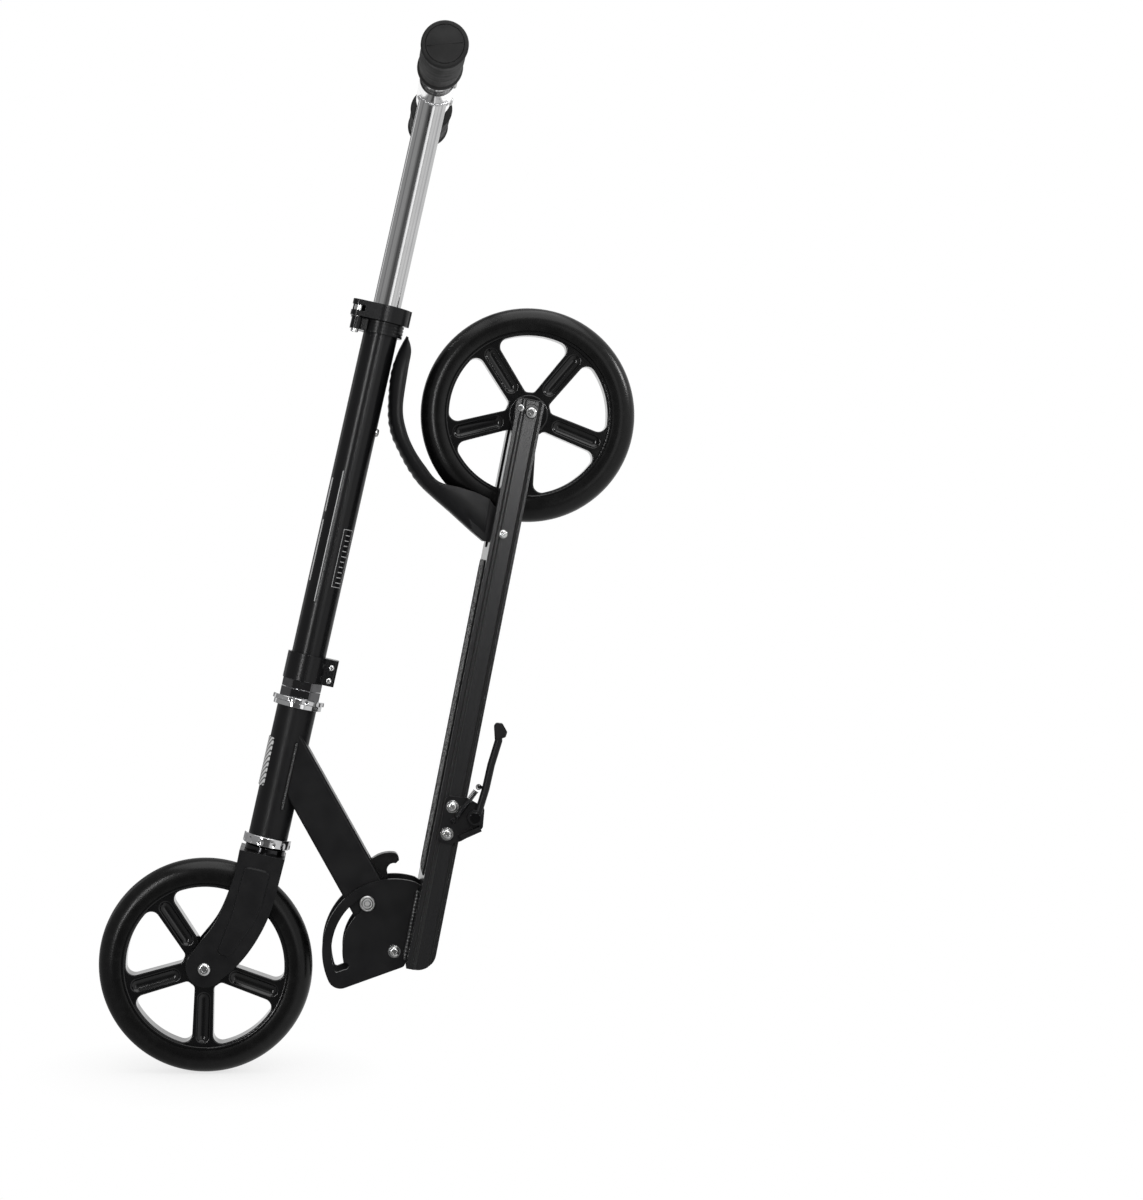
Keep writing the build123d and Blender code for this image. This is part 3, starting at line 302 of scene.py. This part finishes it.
def grip_rubber():
    """Closed-cell foam rubber: matt, with a fine pore grain and a rubbed palm zone."""
    f = Finish("grip_rubber", (0.006, 0.006, 0.006), 0.62, Specular_IOR_Level=0.35)
    f.rough(f.noise(60, 4), 0.55, 0.74)
    f.tint(f.noise(45, 5), (0.01, 0.01, 0.01), 0.45, 0.7)
    f.bump(f.cells(1700), 0.05 * MM, 0.6)
    f.bump(f.noise(600, 3), 0.04 * MM, 0.5)
    return f


def tape_grit():
    """Abrasive sheet: glassy grains in black binder, with a plain broken zigzag printed along it."""
    f = Finish("tape_grit", (0.006, 0.006, 0.006), 0.85, Specular_IOR_Level=0.03)
    place = f.coords(DECK)
    x, y, _ = f.axes(place)
    zigzag = f.math("PINGPONG", x, 9 * MM)
    slant = f.math("ADD", y, f.math("MULTIPLY", zigzag, 1.4))
    bars = f.math("PINGPONG", slant, 5 * MM)
    printed = f.span(bars, 3.4 * MM, 3.8 * MM)
    inside = f.span(f.math("ABSOLUTE", y), 31 * MM, 30 * MM)
    worn = f.span(f.noise(420, 4, place), 0.42, 0.5)
    ink = f.math("MULTIPLY", f.math("MULTIPLY", printed, inside), worn)
    f.tint(f.noise(2600, 1, place), (0.03, 0.03, 0.03), 0.62, 0.7)
    f.tint(ink, (0.7, 0.7, 0.7), 0.0, 1.0)
    f.bump(f.cells(1300, place), 0.25 * MM, 0.8)
    return f


def badge_grey():
    """Light plate with diagonal hatching in its print."""
    f = Finish("badge_grey", (0.5, 0.5, 0.5), 0.35, Specular_IOR_Level=0.5)
    _, y, z = f.axes(f.coords(STEM))
    slant = f.math("ADD", z, f.math("MULTIPLY", y, 1.2))
    hatch = f.span(f.math("PINGPONG", slant, 2.6 * MM), 1.5 * MM, 1.8 * MM)
    f.tint(hatch, (0.06, 0.06, 0.06), 0.0, 1.0)
    f.rough(f.noise(300, 3), 0.3, 0.42)
    f.bump(f.noise(700, 2), 0.01 * MM, 0.4, EDGE)
    return f


def spring_steel():
    """Hard drawn wire, oiled dark."""
    f = Finish("spring_steel", (0.42, 0.42, 0.44), 0.25, Metallic=1.0)
    f.rough(f.noise(1200, 3), 0.2, 0.36)
    f.tint(f.noise(500, 4), (0.2, 0.2, 0.21), 0.4, 0.7)
    f.bump(f.noise(2600, 2), 0.008 * MM, 0.4)
    return f


def white_ink():
    """Screen print, a little thin in places."""
    f = Finish("white_ink", (0.4, 0.4, 0.4), 0.45)
    f.tint(f.noise(1500, 4), (0.25, 0.25, 0.25), 0.6, 0.75)
    f.rough(f.noise(400, 3), 0.4, 0.55)
    f.bump(f.noise(2400, 2), 0.004 * MM, 0.4)
    return f


# Lower and upper edge of the channels along the deck's side, in its frame, millimetres.
DECK_CHANNELS = ((-17.3, -15.5), (-20.6, -18.7), (-34.4, -31.8))


def deck_side():
    """Anodised deck; its narrow channels rougher from the extrusion and painted darker as shade in the
    recesses.
    """
    f = Finish("black_anodised_deck", (0.008, 0.008, 0.0085), 0.25, Specular_IOR_Level=0.6)
    stretched = f.coords(DECK, (ALONG, 1, 1))
    height = f.axes(f.coords(DECK))["Z"]
    # Channel mask: it raises the roughness and also paints shade into the channels.
    channel_dull_and_shaded = None
    for low, high in DECK_CHANNELS:
        centre, half = (low + high) / 2 * MM, (high - low) / 2 * MM
        away = f.math("ABSOLUTE", f.math("SUBTRACT", height, centre))
        channel = f.span(away, half + 0.1 * MM, half - 0.2 * MM)
        channel_dull_and_shaded = f.math("MAXIMUM", channel_dull_and_shaded, channel) if channel_dull_and_shaded else channel
    grain = f.span(f.noise(900, 2, stretched), 0.3, 0.7, 0.235, 0.265)
    rough = f.math("ADD", grain, f.math("MULTIPLY", channel_dull_and_shaded, 0.5))
    f.tree.links.new(rough, f.shader.inputs["Roughness"])
    f.tint(f.noise(25, 4), (0.0095, 0.0095, 0.01), 0.4, 0.8)
    # Painted shade: the channels are tinted near black, as the shade that falls in the recesses.
    f.tint(channel_dull_and_shaded, (0.002, 0.002, 0.002), 0.0, 1.0)
    f.bump(f.noise(2600, 2, stretched), 0.0012 * MM, 0.4, EDGE)
    return f


finishes = {make.__name__: make().material for make in (
    black_paint, black_anodised, silver_tube, chrome, zinc_steel, bearing_steel, tyre_black,
    core_plastic, black_plastic, grip_rubber, tape_grit, badge_grey, spring_steel, white_ink)}
own_finish = {
    "deck": deck_side().material,
    "lock_pin": turned_steel().material,
    "headset_nuts": chrome("dark_chrome", (0.16, 0.16, 0.165)).material,
    "headset_bearings": chrome("oiled_race", (0.05, 0.05, 0.052)).material,
    "kickstand_pin": chrome("blackened_rivet", (0.06, 0.06, 0.062)).material,
    "kickstand_spring": chrome("blackened_wire", (0.05, 0.05, 0.052)).material,
}
weld_paint = black_paint("weld_paint", 0.17, 1.0).material

for subpart in frame["record"]["subparts"]:
    node = nodes[subpart["node"]]
    material = own_finish.get(subpart["node"], finishes[subpart["material_slot"]])
    if not node.material_slots:
        node.data.materials.append(material)
    for material_slot in node.material_slots:
        material_slot.material = material


# ---------------------------------------------------------------- mesh helpers
def loft(rings, closed=True, loop=False, caps=False):
    """Mesh through rings of points; closed joins each ring's ends, loop the last ring to the first."""
    bm = bmesh.new()
    rows = [[bm.verts.new(point) for point in ring] for ring in rings]
    count = len(rings[0])
    pairs = list(zip(rows, rows[1:])) + ([(rows[-1], rows[0])] if loop else [])
    for row, following in pairs:
        for k in range(count if closed else count - 1):
            j = (k + 1) % count
            bm.faces.new((row[k], row[j], following[j], following[k]))
    if caps:
        bm.faces.new(rows[0])
        bm.faces.new(rows[-1])
    bmesh.ops.remove_doubles(bm, verts=bm.verts, dist=1e-6)
    bmesh.ops.recalc_face_normals(bm, faces=bm.faces)
    mesh = bpy.data.meshes.new("loft")
    bm.to_mesh(mesh)
    bm.free()
    return mesh


def lathe(profile, segments):
    """Body of revolution round Y; profile is a closed list of (radius, distance along Y) in millimetres."""
    rings = []
    for k in range(segments):
        angle = 2 * math.pi * k / segments
        c, s = math.cos(angle), math.sin(angle)
        rings.append([Vector((r * c, h, r * s)) * MM for r, h in profile])
    return loft(rings, loop=True)


def piece(name, mesh, body, slot, place=Matrix(), material=None, sharp_deg=40, replaces=()):
    """Object from a mesh drawn in a working frame, riding on a CAD body."""
    mesh.transform(place)
    mesh.shade_smooth()
    mesh.set_sharp_from_angle(angle=math.radians(sharp_deg))
    mesh.materials.append(material or finishes[slot])
    obj = bpy.data.objects.new(name, mesh)
    bpy.context.scene.collection.objects.link(obj)
    if replaces:
        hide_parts(*replaces)
    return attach(obj, body)


def along(points, spacing):
    """Points spaced evenly along a run of straight lines."""
    out = []
    carry = 0.0
    for a, b in zip(points, points[1:]):
        run = (b - a).length
        d = carry
        while d < run:
            out.append(a.lerp(b, d / run))
            d += spacing
        carry = d - run
    return out + [points[-1]]


def rope(points, radius_at, sides=10):
    """Round bead that follows points, with its own radius at each one."""
    rings = []
    last = len(points) - 1
    for k, point in enumerate(points):
        way = (points[min(k + 1, last)] - points[max(k - 1, 0)]).normalized()
        if k:
            side = (side - side.dot(way) * way).normalized()
        else:
            side = way.orthogonal().normalized()
        up = way.cross(side)
        r = radius_at(k)
        rings.append([point + (side * math.cos(a) + up * math.sin(a)) * r
                      for a in (2 * math.pi * j / sides for j in range(sides))])
    return loft(rings, caps=True)


def weld(name, points, radius, body, place):
    """Weld bead of overlapping ripples along a seam; points and radius in millimetres."""
    steps_per_ripple = 5
    waver = 0.05 * radius
    path = along([Vector(point) for point in points], 0.22 * radius)
    path = [p + Vector([random.uniform(-1, 1) * waver for _ in range(3)]) for p in path]

    def radius_at(k):
        wave = (k % steps_per_ripple) / steps_per_ripple
        end = min(1.0, 0.55 + 0.15 * k, 0.55 + 0.15 * (len(path) - 1 - k))
        return radius * MM * (0.8 + 0.28 * math.sin(math.pi * wave)) * end

    return piece(name, rope([p * MM for p in path], radius_at), body, "black_paint", place, weld_paint, 75)


def smooth_line(points, count):
    """Catmull-Rom line through points, with count steps between neighbours."""
    out = []
    last = len(points) - 1
    for k in range(last):
        a, b, c, d = (Vector(points[min(max(j, 0), last)]) for j in (k - 1, k, k + 1, k + 2))
        for i in range(count):
            t = i / count
            out.append(0.5 * (2 * b + (c - a) * t + (2 * a - 5 * b + 4 * c - d) * t ** 2
                              + (3 * b - a - 3 * c + d) * t ** 3))
    return out + [Vector(points[-1])]


# ---------------------------------------------------------------- tyres
PARTING_RIDGE = 0.22       # line that the mould leaves round the middle of the tread
TREAD_INSET = 0.25         # keeps the ridge inside the tyre's CAD radius
CORE_GAP = 0.02


def tyre_profile(radius, half_w, inner):
    """Section of the cast tyre: bead steps, flat sidewall, round tread, parting ridge."""
    shoulder = radius - half_w
    side = [(inner, half_w - 1.4), (inner + 0.5, half_w - 0.7), (inner + 1.4, half_w - 0.5),
            (inner + 3.0, half_w - 0.2), (shoulder - 1.2, half_w - 0.03), (shoulder - 0.4, half_w - 0.01)]
    steps = 14
    tread = []
    for k in range(2 * steps + 1):
        angle = math.pi / 2 - math.pi / 2 * k / steps
        ridge = PARTING_RIDGE if k == steps else 0.0
        tread.append((shoulder + (half_w + ridge) * math.cos(angle), half_w * math.sin(angle)))
    return side + tread + [(r, -h) for r, h in reversed(side)]


def tyre(wheel, axle):
    low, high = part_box(wheel + "_tyre")
    radius = (high.z - low.z) / 2 / MM
    half_w = (high.y - low.y) / 2 / MM
    core_low, core_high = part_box(wheel + "_core")
    inner = (core_high.z - core_low.z) / 2 / MM + CORE_GAP
    mesh = lathe(tyre_profile(radius - TREAD_INSET, half_w, inner), 192)
    piece(wheel + "_cast_tyre", mesh, wheel, "tyre_black", Matrix.Translation(axle),
          replaces=[wheel + "_tyre"])


tyre("front_wheel", FRONT_AXLE)
tyre("rear_wheel", REAR_AXLE)


# ---------------------------------------------------------------- grips
GRIP_BORE_R = 14.1
FACE_LINE_U = (-14.8, -7.0, 0.0, 7.0, 14.8)    # points of the moulding line across the end face
FACE_LINE_R = 0.32
FACE_LINE_SLOPE = 0.32


def grip(side, node, body):
    """Barrel grip: end flange with a parting ring and a raised moulding line across it, inner collar."""
    low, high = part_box(node)
    start, end = sorted(abs(v) / MM for v in (low.y, high.y))
    flange = (high.x - low.x) / 2 / MM
    body_r = flange - 1.7
    face_r = flange - 4.4
    profile = [(GRIP_BORE_R, start), (flange - 0.8, start), (flange - 0.2, start + 0.4),
               (flange, start + 1.2), (flange, start + 5.0), (flange - 0.4, start + 6.2),
               (body_r + 0.5, start + 8.0)]
    steps = 24
    for k in range(steps + 1):
        t = k / steps
        belly = 1.0 * math.sin(math.pi * t)
        ring = 0.25 if 3 <= k <= steps - 3 and k % 3 == 0 else 0.0
        profile.append((body_r + belly - ring, start + 9 + (end - start - 19) * t))
    profile += [(body_r + 0.5, end - 9.0), (flange - 0.5, end - 7.2), (flange, end - 6.2),
                (flange, end - 3.2), (flange - 0.25, end - 2.9), (flange - 0.02, end - 2.6),
                (flange - 0.2, end - 1.4), (flange - 0.9, end - 0.5), (flange - 2.0, end - 0.1),
                (flange - 3.4, end - 0.02), (flange - 3.9, end - 0.5), (face_r, end - 0.02)]
    face = [(r, end + 0.9 * (1 - (r / face_r) ** 2) - 0.3) for r in (12.0, 8.0, 4.0, 0.01)]
    back = [(0.01, end - 3.8), (GRIP_BORE_R, end - 3.8)]
    points = [(r, side * h) for r, h in profile + face + back]
    piece(node + "_foam", lathe(points, 96), body, "grip_rubber", BAR, replaces=[node])
    y = side * (end + 0.35)
    line = [Vector((u, y, FACE_LINE_SLOPE * u)) * MM for u in FACE_LINE_U]
    bead = rope(line, lambda k: FACE_LINE_R * MM, 8)
    piece(node + "_moulding_line", bead, body, "grip_rubber", BAR)


grip(-1, "left_grip", "left_bar")
grip(1, "right_grip", "right_bar")


# ---------------------------------------------------------------- fender brake
# Outer line and free edge of the fender in the deck's frame, millimetres, from the deck to the tip.
FENDER_LINES = [
    ((388.6, -7.6), (428.2, -6.3)),
    ((398.0, 9.0), (431.6, 7.5)),
    ((408.0, 25.6), (433.4, 22.5)),
    ((426.4, 56.8), (435.4, 44.1)),
    ((439.5, 72.4), (447.1, 59.2)),
    ((457.7, 87.4), (460.7, 72.4)),
    ((472.1, 96.8), (476.4, 82.6)),
    ((490.5, 102.8), (496.1, 89.6)),
    ((523.8, 106.9), (530.2, 91.6)),
    ((546.0, 104.2), (550.0, 92.4)),
    ((562.8, 99.1), (561.6, 97.6)),
]
FENDER_HALF_W = (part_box("brake_fender")[1].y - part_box("brake_fender")[0].y) / 2 / MM
FENDER_SHEET = 2.2
FENDER_BOLT = (398.4, -22.4)
EAR_BOSS_R = 8.3           # round end of each cheek, about the bolt
EAR_INSET = 0.7            # cheeks under the shell's skirt
RIB_PITCH = 8.0            # foot ribs pressed across the fender
RIB_RISE = 0.4


def fender_shell():
    """Crowned pressing over the wheel with foot ribs and a pointed tip."""
    crown = smooth_line([(u, 0, v) for (u, v), _ in FENDER_LINES], 12)
    edge = smooth_line([(u, 0, v) for _, (u, v) in FENDER_LINES], 12)
    last = len(crown) - 1
    rings = []
    travelled = 0.0
    for k, (top, skirt) in enumerate(zip(crown, edge)):
        travelled += (top - crown[max(k - 1, 0)]).length
        t = k / last
        # Squarer in section toward the deck, narrower over the last part of the tip, ribs between.
        boxy = 2.5 + 5.0 * max(0.0, 1 - t / 0.32)
        half_w = FENDER_HALF_W * (1 - 0.55 * max(0.0, (t - 0.78) / 0.22) ** 2.2)
        out = (top - skirt).normalized()
        ribbed = min(1, max(0, (t - 0.3) / 0.08)) * min(1, max(0, (0.9 - t) / 0.08))
        rise = ribbed * RIB_RISE * (math.cos(2 * math.pi * travelled / RIB_PITCH) - 1)
        ring = []
        across = 28
        for j in range(across + 1):
            a = math.pi * (j / across - 0.5)
            y = half_w * math.copysign(abs(math.sin(a)) ** (2 / boxy), a)
            h = abs(math.cos(a)) ** (2 / boxy)
            point = skirt.lerp(top, h) + Vector((0, y, 0)) + out * rise * h ** 4
            ring.append(point * MM)
        rings.append(ring)
    shell = piece("brake_fender_shell", loft(rings, closed=False), "brake_fender", "black_paint", DECK,
                  sharp_deg=60, replaces=["brake_fender"])
    thicken = shell.modifiers.new("sheet", "SOLIDIFY")
    thicken.thickness = FENDER_SHEET * MM
    thicken.offset = -1 if outward(shell) else 1
    round_rim = shell.modifiers.new("rim", "BEVEL")
    round_rim.width = 0.6 * MM
    round_rim.segments = 2
    round_rim.angle_limit = math.radians(55)


def outward(obj):
    """True if the open shell's normals point away from its own middle."""
    mesh = obj.data
    centre = sum((v.co for v in mesh.vertices), Vector()) / len(mesh.vertices)
    return sum((p.center - centre).dot(p.normal) * p.area for p in mesh.polygons) > 0


def plate(name, outline, y0, y1, body, slot, place):
    """Flat plate from an outline of (X, Z) points in millimetres, between two Y planes."""
    rings = [[Vector((x, y, z)) * MM for x, z in outline] for y in (y0, y1)]
    obj = piece(name, loft(rings, caps=True), body, slot, place)
    soften = obj.modifiers.new("edges", "BEVEL")
    soften.width = 0.5 * MM
    soften.segments = 2
    soften.angle_limit = math.radians(50)


def arc(centre, r, deg0, deg1, steps):
    """Points of an arc in X and Z."""
    return [(centre[0] + r * math.cos(math.radians(deg0 + (deg1 - deg0) * k / steps)),
             centre[1] + r * math.sin(math.radians(deg0 + (deg1 - deg0) * k / steps)))
            for k in range(steps + 1)]


def fender_ears():
    """Cheeks of the fender down to its bolt, one on each side of the wheel."""
    outline = [(431.6, 7.5), (428.2, -6.3), (416.0, -18.0), (406.0, -26.0)]
    outline += arc(FENDER_BOLT, EAR_BOSS_R, -40, -190, 12) + [(388.8, -8.0), (396.0, 5.0), (412.0, 12.0)]
    outer = FENDER_HALF_W - EAR_INSET
    for side, label in ((-1, "left"), (1, "right")):
        low, high = sorted((side * outer, side * (outer - FENDER_SHEET)))
        plate("fender_ear_" + label, outline, low, high, "brake_fender", "black_paint", DECK)


fender_shell()
fender_ears()


# ---------------------------------------------------------------- welds
HEAD_TUBE_R = 18.5
NECK_HALF_W = 17.0
NECK_SEAM = (158.0, 222.0)         # along the stem axis, from the front axle up
PLATE_SEAM = (-6.0, 60.0)          # along the deck, from the fold bolt
PLATE_SEAM_Y = 22.2
PLATE_SEAM_HEIGHT = -10.8
UPPER_TUBE_R = 13.25
SLEEVE_R = 16.5
NECK_BEAD_R = 1.9
PLATE_BEAD_R = 3.0
SLEEVE_BEAD_R = 1.3


def neck_welds():
    """Beads on both sides where the rectangular neck meets the round head tube."""
    stem_in_neck = NECK.inverted() @ STEM
    x_on_tube = math.sqrt(HEAD_TUBE_R ** 2 - NECK_HALF_W ** 2)
    low, high = NECK_SEAM
    for side, label in ((-1, "left"), (1, "right")):
        y = side * (NECK_HALF_W + 0.4)
        path = []
        for k in range(9):
            s = low + (high - low) * k / 8
            point = stem_in_neck @ (Vector((x_on_tube, y, s)) * MM)
            path.append(point / MM)
        weld("neck_weld_" + label, path, NECK_BEAD_R, "frame", NECK)


def plate_welds():
    """Beads where the two fold plates stand on the deck."""
    for side, label in ((-1, "left"), (1, "right")):
        path = [(u, side * PLATE_SEAM_Y, PLATE_SEAM_HEIGHT) for u in PLATE_SEAM]
        weld("plate_weld_" + label, path, PLATE_BEAD_R, "deck", DECK)


def sleeve_weld():
    """Bead round the coped end of the sliding tube under the cross sleeve."""
    path = []
    for k in range(49):
        a = 2 * math.pi * k / 48
        x, y = UPPER_TUBE_R * math.cos(a), UPPER_TUBE_R * math.sin(a)
        path.append((x * 1.04, y * 1.04, -math.sqrt(SLEEVE_R ** 2 - x ** 2) - 0.2))
    bead = weld("sleeve_weld", path, SLEEVE_BEAD_R, "handlebar", BAR)
    bead.data.materials[0] = finishes["chrome"]


neck_welds()
plate_welds()
sleeve_weld()


# ---------------------------------------------------------------- print on the stem
INK_R = 16.26              # just over the stem tube's surface


def stem_patch(s0, s1, deg0, deg1, radius):
    """Lower and upper edge of a patch that follows the stem's surface, as two rows of points."""
    steps = max(2, int(abs(deg1 - deg0) / 4))
    rings = []
    for s in (s0, s1):
        ring = []
        for k in range(steps + 1):
            a = math.radians(deg0 + (deg1 - deg0) * k / steps)
            ring.append(Vector((radius * math.cos(a), radius * math.sin(a), s)) * MM)
        rings.append(ring)
    return rings


def stem_print():
    """Generic print on the left side of the stem tube: a framed row of ticks, a long line and two bars."""
    left, right, line_deg = -66.0, -24.0, 1.5
    s0, s1 = 370.5, 425.5
    patches = [
        (s0, s1, left, left + line_deg),
        (s0, s1, right - line_deg, right),
        (s0, s0 + 0.5, left, right),
        (s1 - 0.5, s1, left, right),
        (354.0, 478.0, -112.5, -109.5),
        (372.0, 430.0, -157.0, -148.0),
        (438.0, 470.0, -157.0, -148.0),
    ]
    for k in range(10):
        s = s0 + 4.0 + 5.0 * k
        patches.append((s, s + 0.8, left + 12.0, right - (12.0 if k % 5 else 5.0)))
    bm = bmesh.new()
    for patch in patches:
        rings = stem_patch(*patch, INK_R)
        rows = [[bm.verts.new(point) for point in ring] for ring in rings]
        for k in range(len(rows[0]) - 1):
            bm.faces.new((rows[0][k], rows[0][k + 1], rows[1][k + 1], rows[1][k]))
    mesh = bpy.data.meshes.new("stem_print")
    bm.to_mesh(mesh)
    bm.free()
    piece("stem_print", mesh, "steering", "badge_grey", STEM, finishes["white_ink"])


stem_print()


# ---------------------------------------------------------------- floor, light, camera
def floor():
    """Pale paper round the front wheel that goes over into the white backdrop further out."""
    floor_radius = 4.0
    rings = []
    for k in range(25):
        radius = floor_radius * (k / 24) ** 2
        rings.append([Vector((FRONT_AXLE.x + radius * math.cos(a), radius * math.sin(a), 0))
                      for a in (2 * math.pi * j / 96 for j in range(96))])
    mesh = loft(rings)
    obj = bpy.data.objects.new("floor", mesh)
    bpy.context.scene.collection.objects.link(obj)
    f = Finish("floor_paper", (0.93, 0.93, 0.93), 0.9, Specular_IOR_Level=0.1)
    place = f.coords(Matrix.Translation((FRONT_AXLE.x, 0, 0)))
    away = f.add("ShaderNodeVectorMath", {0: place}, operation="LENGTH").outputs["Value"]
    glow = f.add("ShaderNodeEmission", {"Color": (1, 1, 1, 1), "Strength": 1.0})
    fade = f.span(away, 0.01, 0.17, 0.7)
    blend = f.add("ShaderNodeMixShader", {0: fade, 1: f.shader.outputs[0], 2: glow.outputs[0]})
    f.tree.links.new(blend.outputs[0], f.tree.nodes["Material Output"].inputs["Surface"])
    mesh.materials.append(f.material)
    obj.visible_glossy = False


def softbox(name, azimuth_deg, distance, height, width, tall, radiance, aim=(0, 0, 0.5)):
    """Area light round the scooter; azimuth 0 is in front of its left side, positive to the tail."""
    a = math.radians(azimuth_deg)
    place = Vector((distance * math.sin(a), -distance * math.cos(a), height))
    light = bpy.data.lights.new(name, "AREA")
    light.shape = "RECTANGLE"
    light.size, light.size_y = width, tall
    light.energy = radiance * math.pi * width * tall
    obj = bpy.data.objects.new(name, light)
    bpy.context.scene.collection.objects.link(obj)
    obj.location = place
    obj.rotation_euler = (Vector(aim) - place).to_track_quat("-Z", "Y").to_euler()
    return obj


def keep_off(light, left_out):
    """Light that leaves some pieces out, as flags on a set do; pieces are CAD nodes or made here."""
    receivers = bpy.data.collections.new(light.name + "_receivers")
    for name in left_out:
        receivers.objects.link(bpy.data.objects[nodes[name].name if name in nodes else name])
    for entry in receivers.collection_objects:
        entry.light_linking.link_state = "EXCLUDE"
    light.light_linking.receiver_collection = receivers


def surroundings():
    """White backdrop for the camera; for light, studio walls, dark in front and brighter to the tail."""
    world = bpy.data.worlds.new("studio")
    bpy.context.scene.world = world
    world.use_nodes = True
    tree = world.node_tree
    walls = tree.nodes["Background"]

    def level(value, low, high, out_low, out_high):
        node = tree.nodes.new("ShaderNodeMapRange")
        limits = {"From Min": low, "From Max": high, "To Min": out_low, "To Max": out_high}
        for key, number in limits.items():
            node.inputs[key].default_value = number
        tree.links.new(value, node.inputs["Value"])
        return node.outputs["Result"]

    way = tree.nodes.new("ShaderNodeTexCoord")
    split = tree.nodes.new("ShaderNodeSeparateXYZ")
    tree.links.new(way.outputs["Generated"], split.inputs[0])
    both = tree.nodes.new("ShaderNodeMath")
    both.operation = "MULTIPLY"
    tree.links.new(level(split.outputs["X"], -0.4, 0.5, 0.26, 0.6), both.inputs[0])
    tree.links.new(level(split.outputs["Y"], -0.97, -0.75, 0.2, 1.0), both.inputs[1])
    behind = tree.nodes.new("ShaderNodeMath")
    behind.operation = "ADD"
    tree.links.new(both.outputs[0], behind.inputs[0])
    tree.links.new(level(split.outputs["Y"], 0.93, 0.98, 0.0, 0.7), behind.inputs[1])
    tree.links.new(behind.outputs[0], walls.inputs["Strength"])
    walls.inputs["Color"].default_value = (1, 1, 1, 1)
    backdrop = tree.nodes.new("ShaderNodeBackground")
    backdrop.inputs["Strength"].default_value = 1.0
    backdrop.inputs["Color"].default_value = (1, 1, 1, 1)
    path = tree.nodes.new("ShaderNodeLightPath")
    choose = tree.nodes.new("ShaderNodeMixShader")
    tree.links.new(path.outputs["Is Camera Ray"], choose.inputs[0])
    tree.links.new(walls.outputs[0], choose.inputs[1])
    tree.links.new(backdrop.outputs[0], choose.inputs[2])
    tree.links.new(choose.outputs[0], tree.nodes["World Output"].inputs["Surface"])


def camera():
    """Level camera in front of the scooter's left side; the shift holds the whole scooter in frame."""
    data = bpy.data.cameras.new("camera")
    data.lens = 78.0
    data.sensor_width = 36.0
    data.shift_x = 0.1879
    data.shift_y = -0.0625
    obj = bpy.data.objects.new("camera", data)
    obj.location = (-0.0192, -2.430, 0.5107)
    obj.rotation_euler = (math.pi / 2, 0, 0)
    bpy.context.scene.collection.objects.link(obj)
    bpy.context.scene.camera = obj


POLISHED = ["upper_tube", "t_sleeve", "left_bar_tube", "right_bar_tube"]
WHEELS = ["front_wheel_core", "rear_wheel_core", "front_wheel_cast_tyre", "rear_wheel_cast_tyre"]
HEADS = ["rear_axle_bolt", "axle_retaining_screws"]

floor()
surroundings()
keep_off(softbox("left_strip", -29, 3.0, 1.0, 0.2, 2.0, 18.0), POLISHED + HEADS)
keep_off(softbox("front_strip", 8, 3.4, 1.6, 0.24, 1.9, 15.0), POLISHED + WHEELS + HEADS)
softbox("front_panel", 21, 3.2, 0.9, 1.0, 2.4, 0.9)
softbox("edge_light", 82, 2.6, 1.7, 0.4, 0.7, 22.0)
softbox("top_panel", 20, 0.4, 2.6, 2.6, 2.6, 1.6)
softbox("back_left", -130, 2.8, 1.3, 0.5, 1.6, 0.6)
camera()
bpy.context.scene.view_settings.view_transform = "Standard"
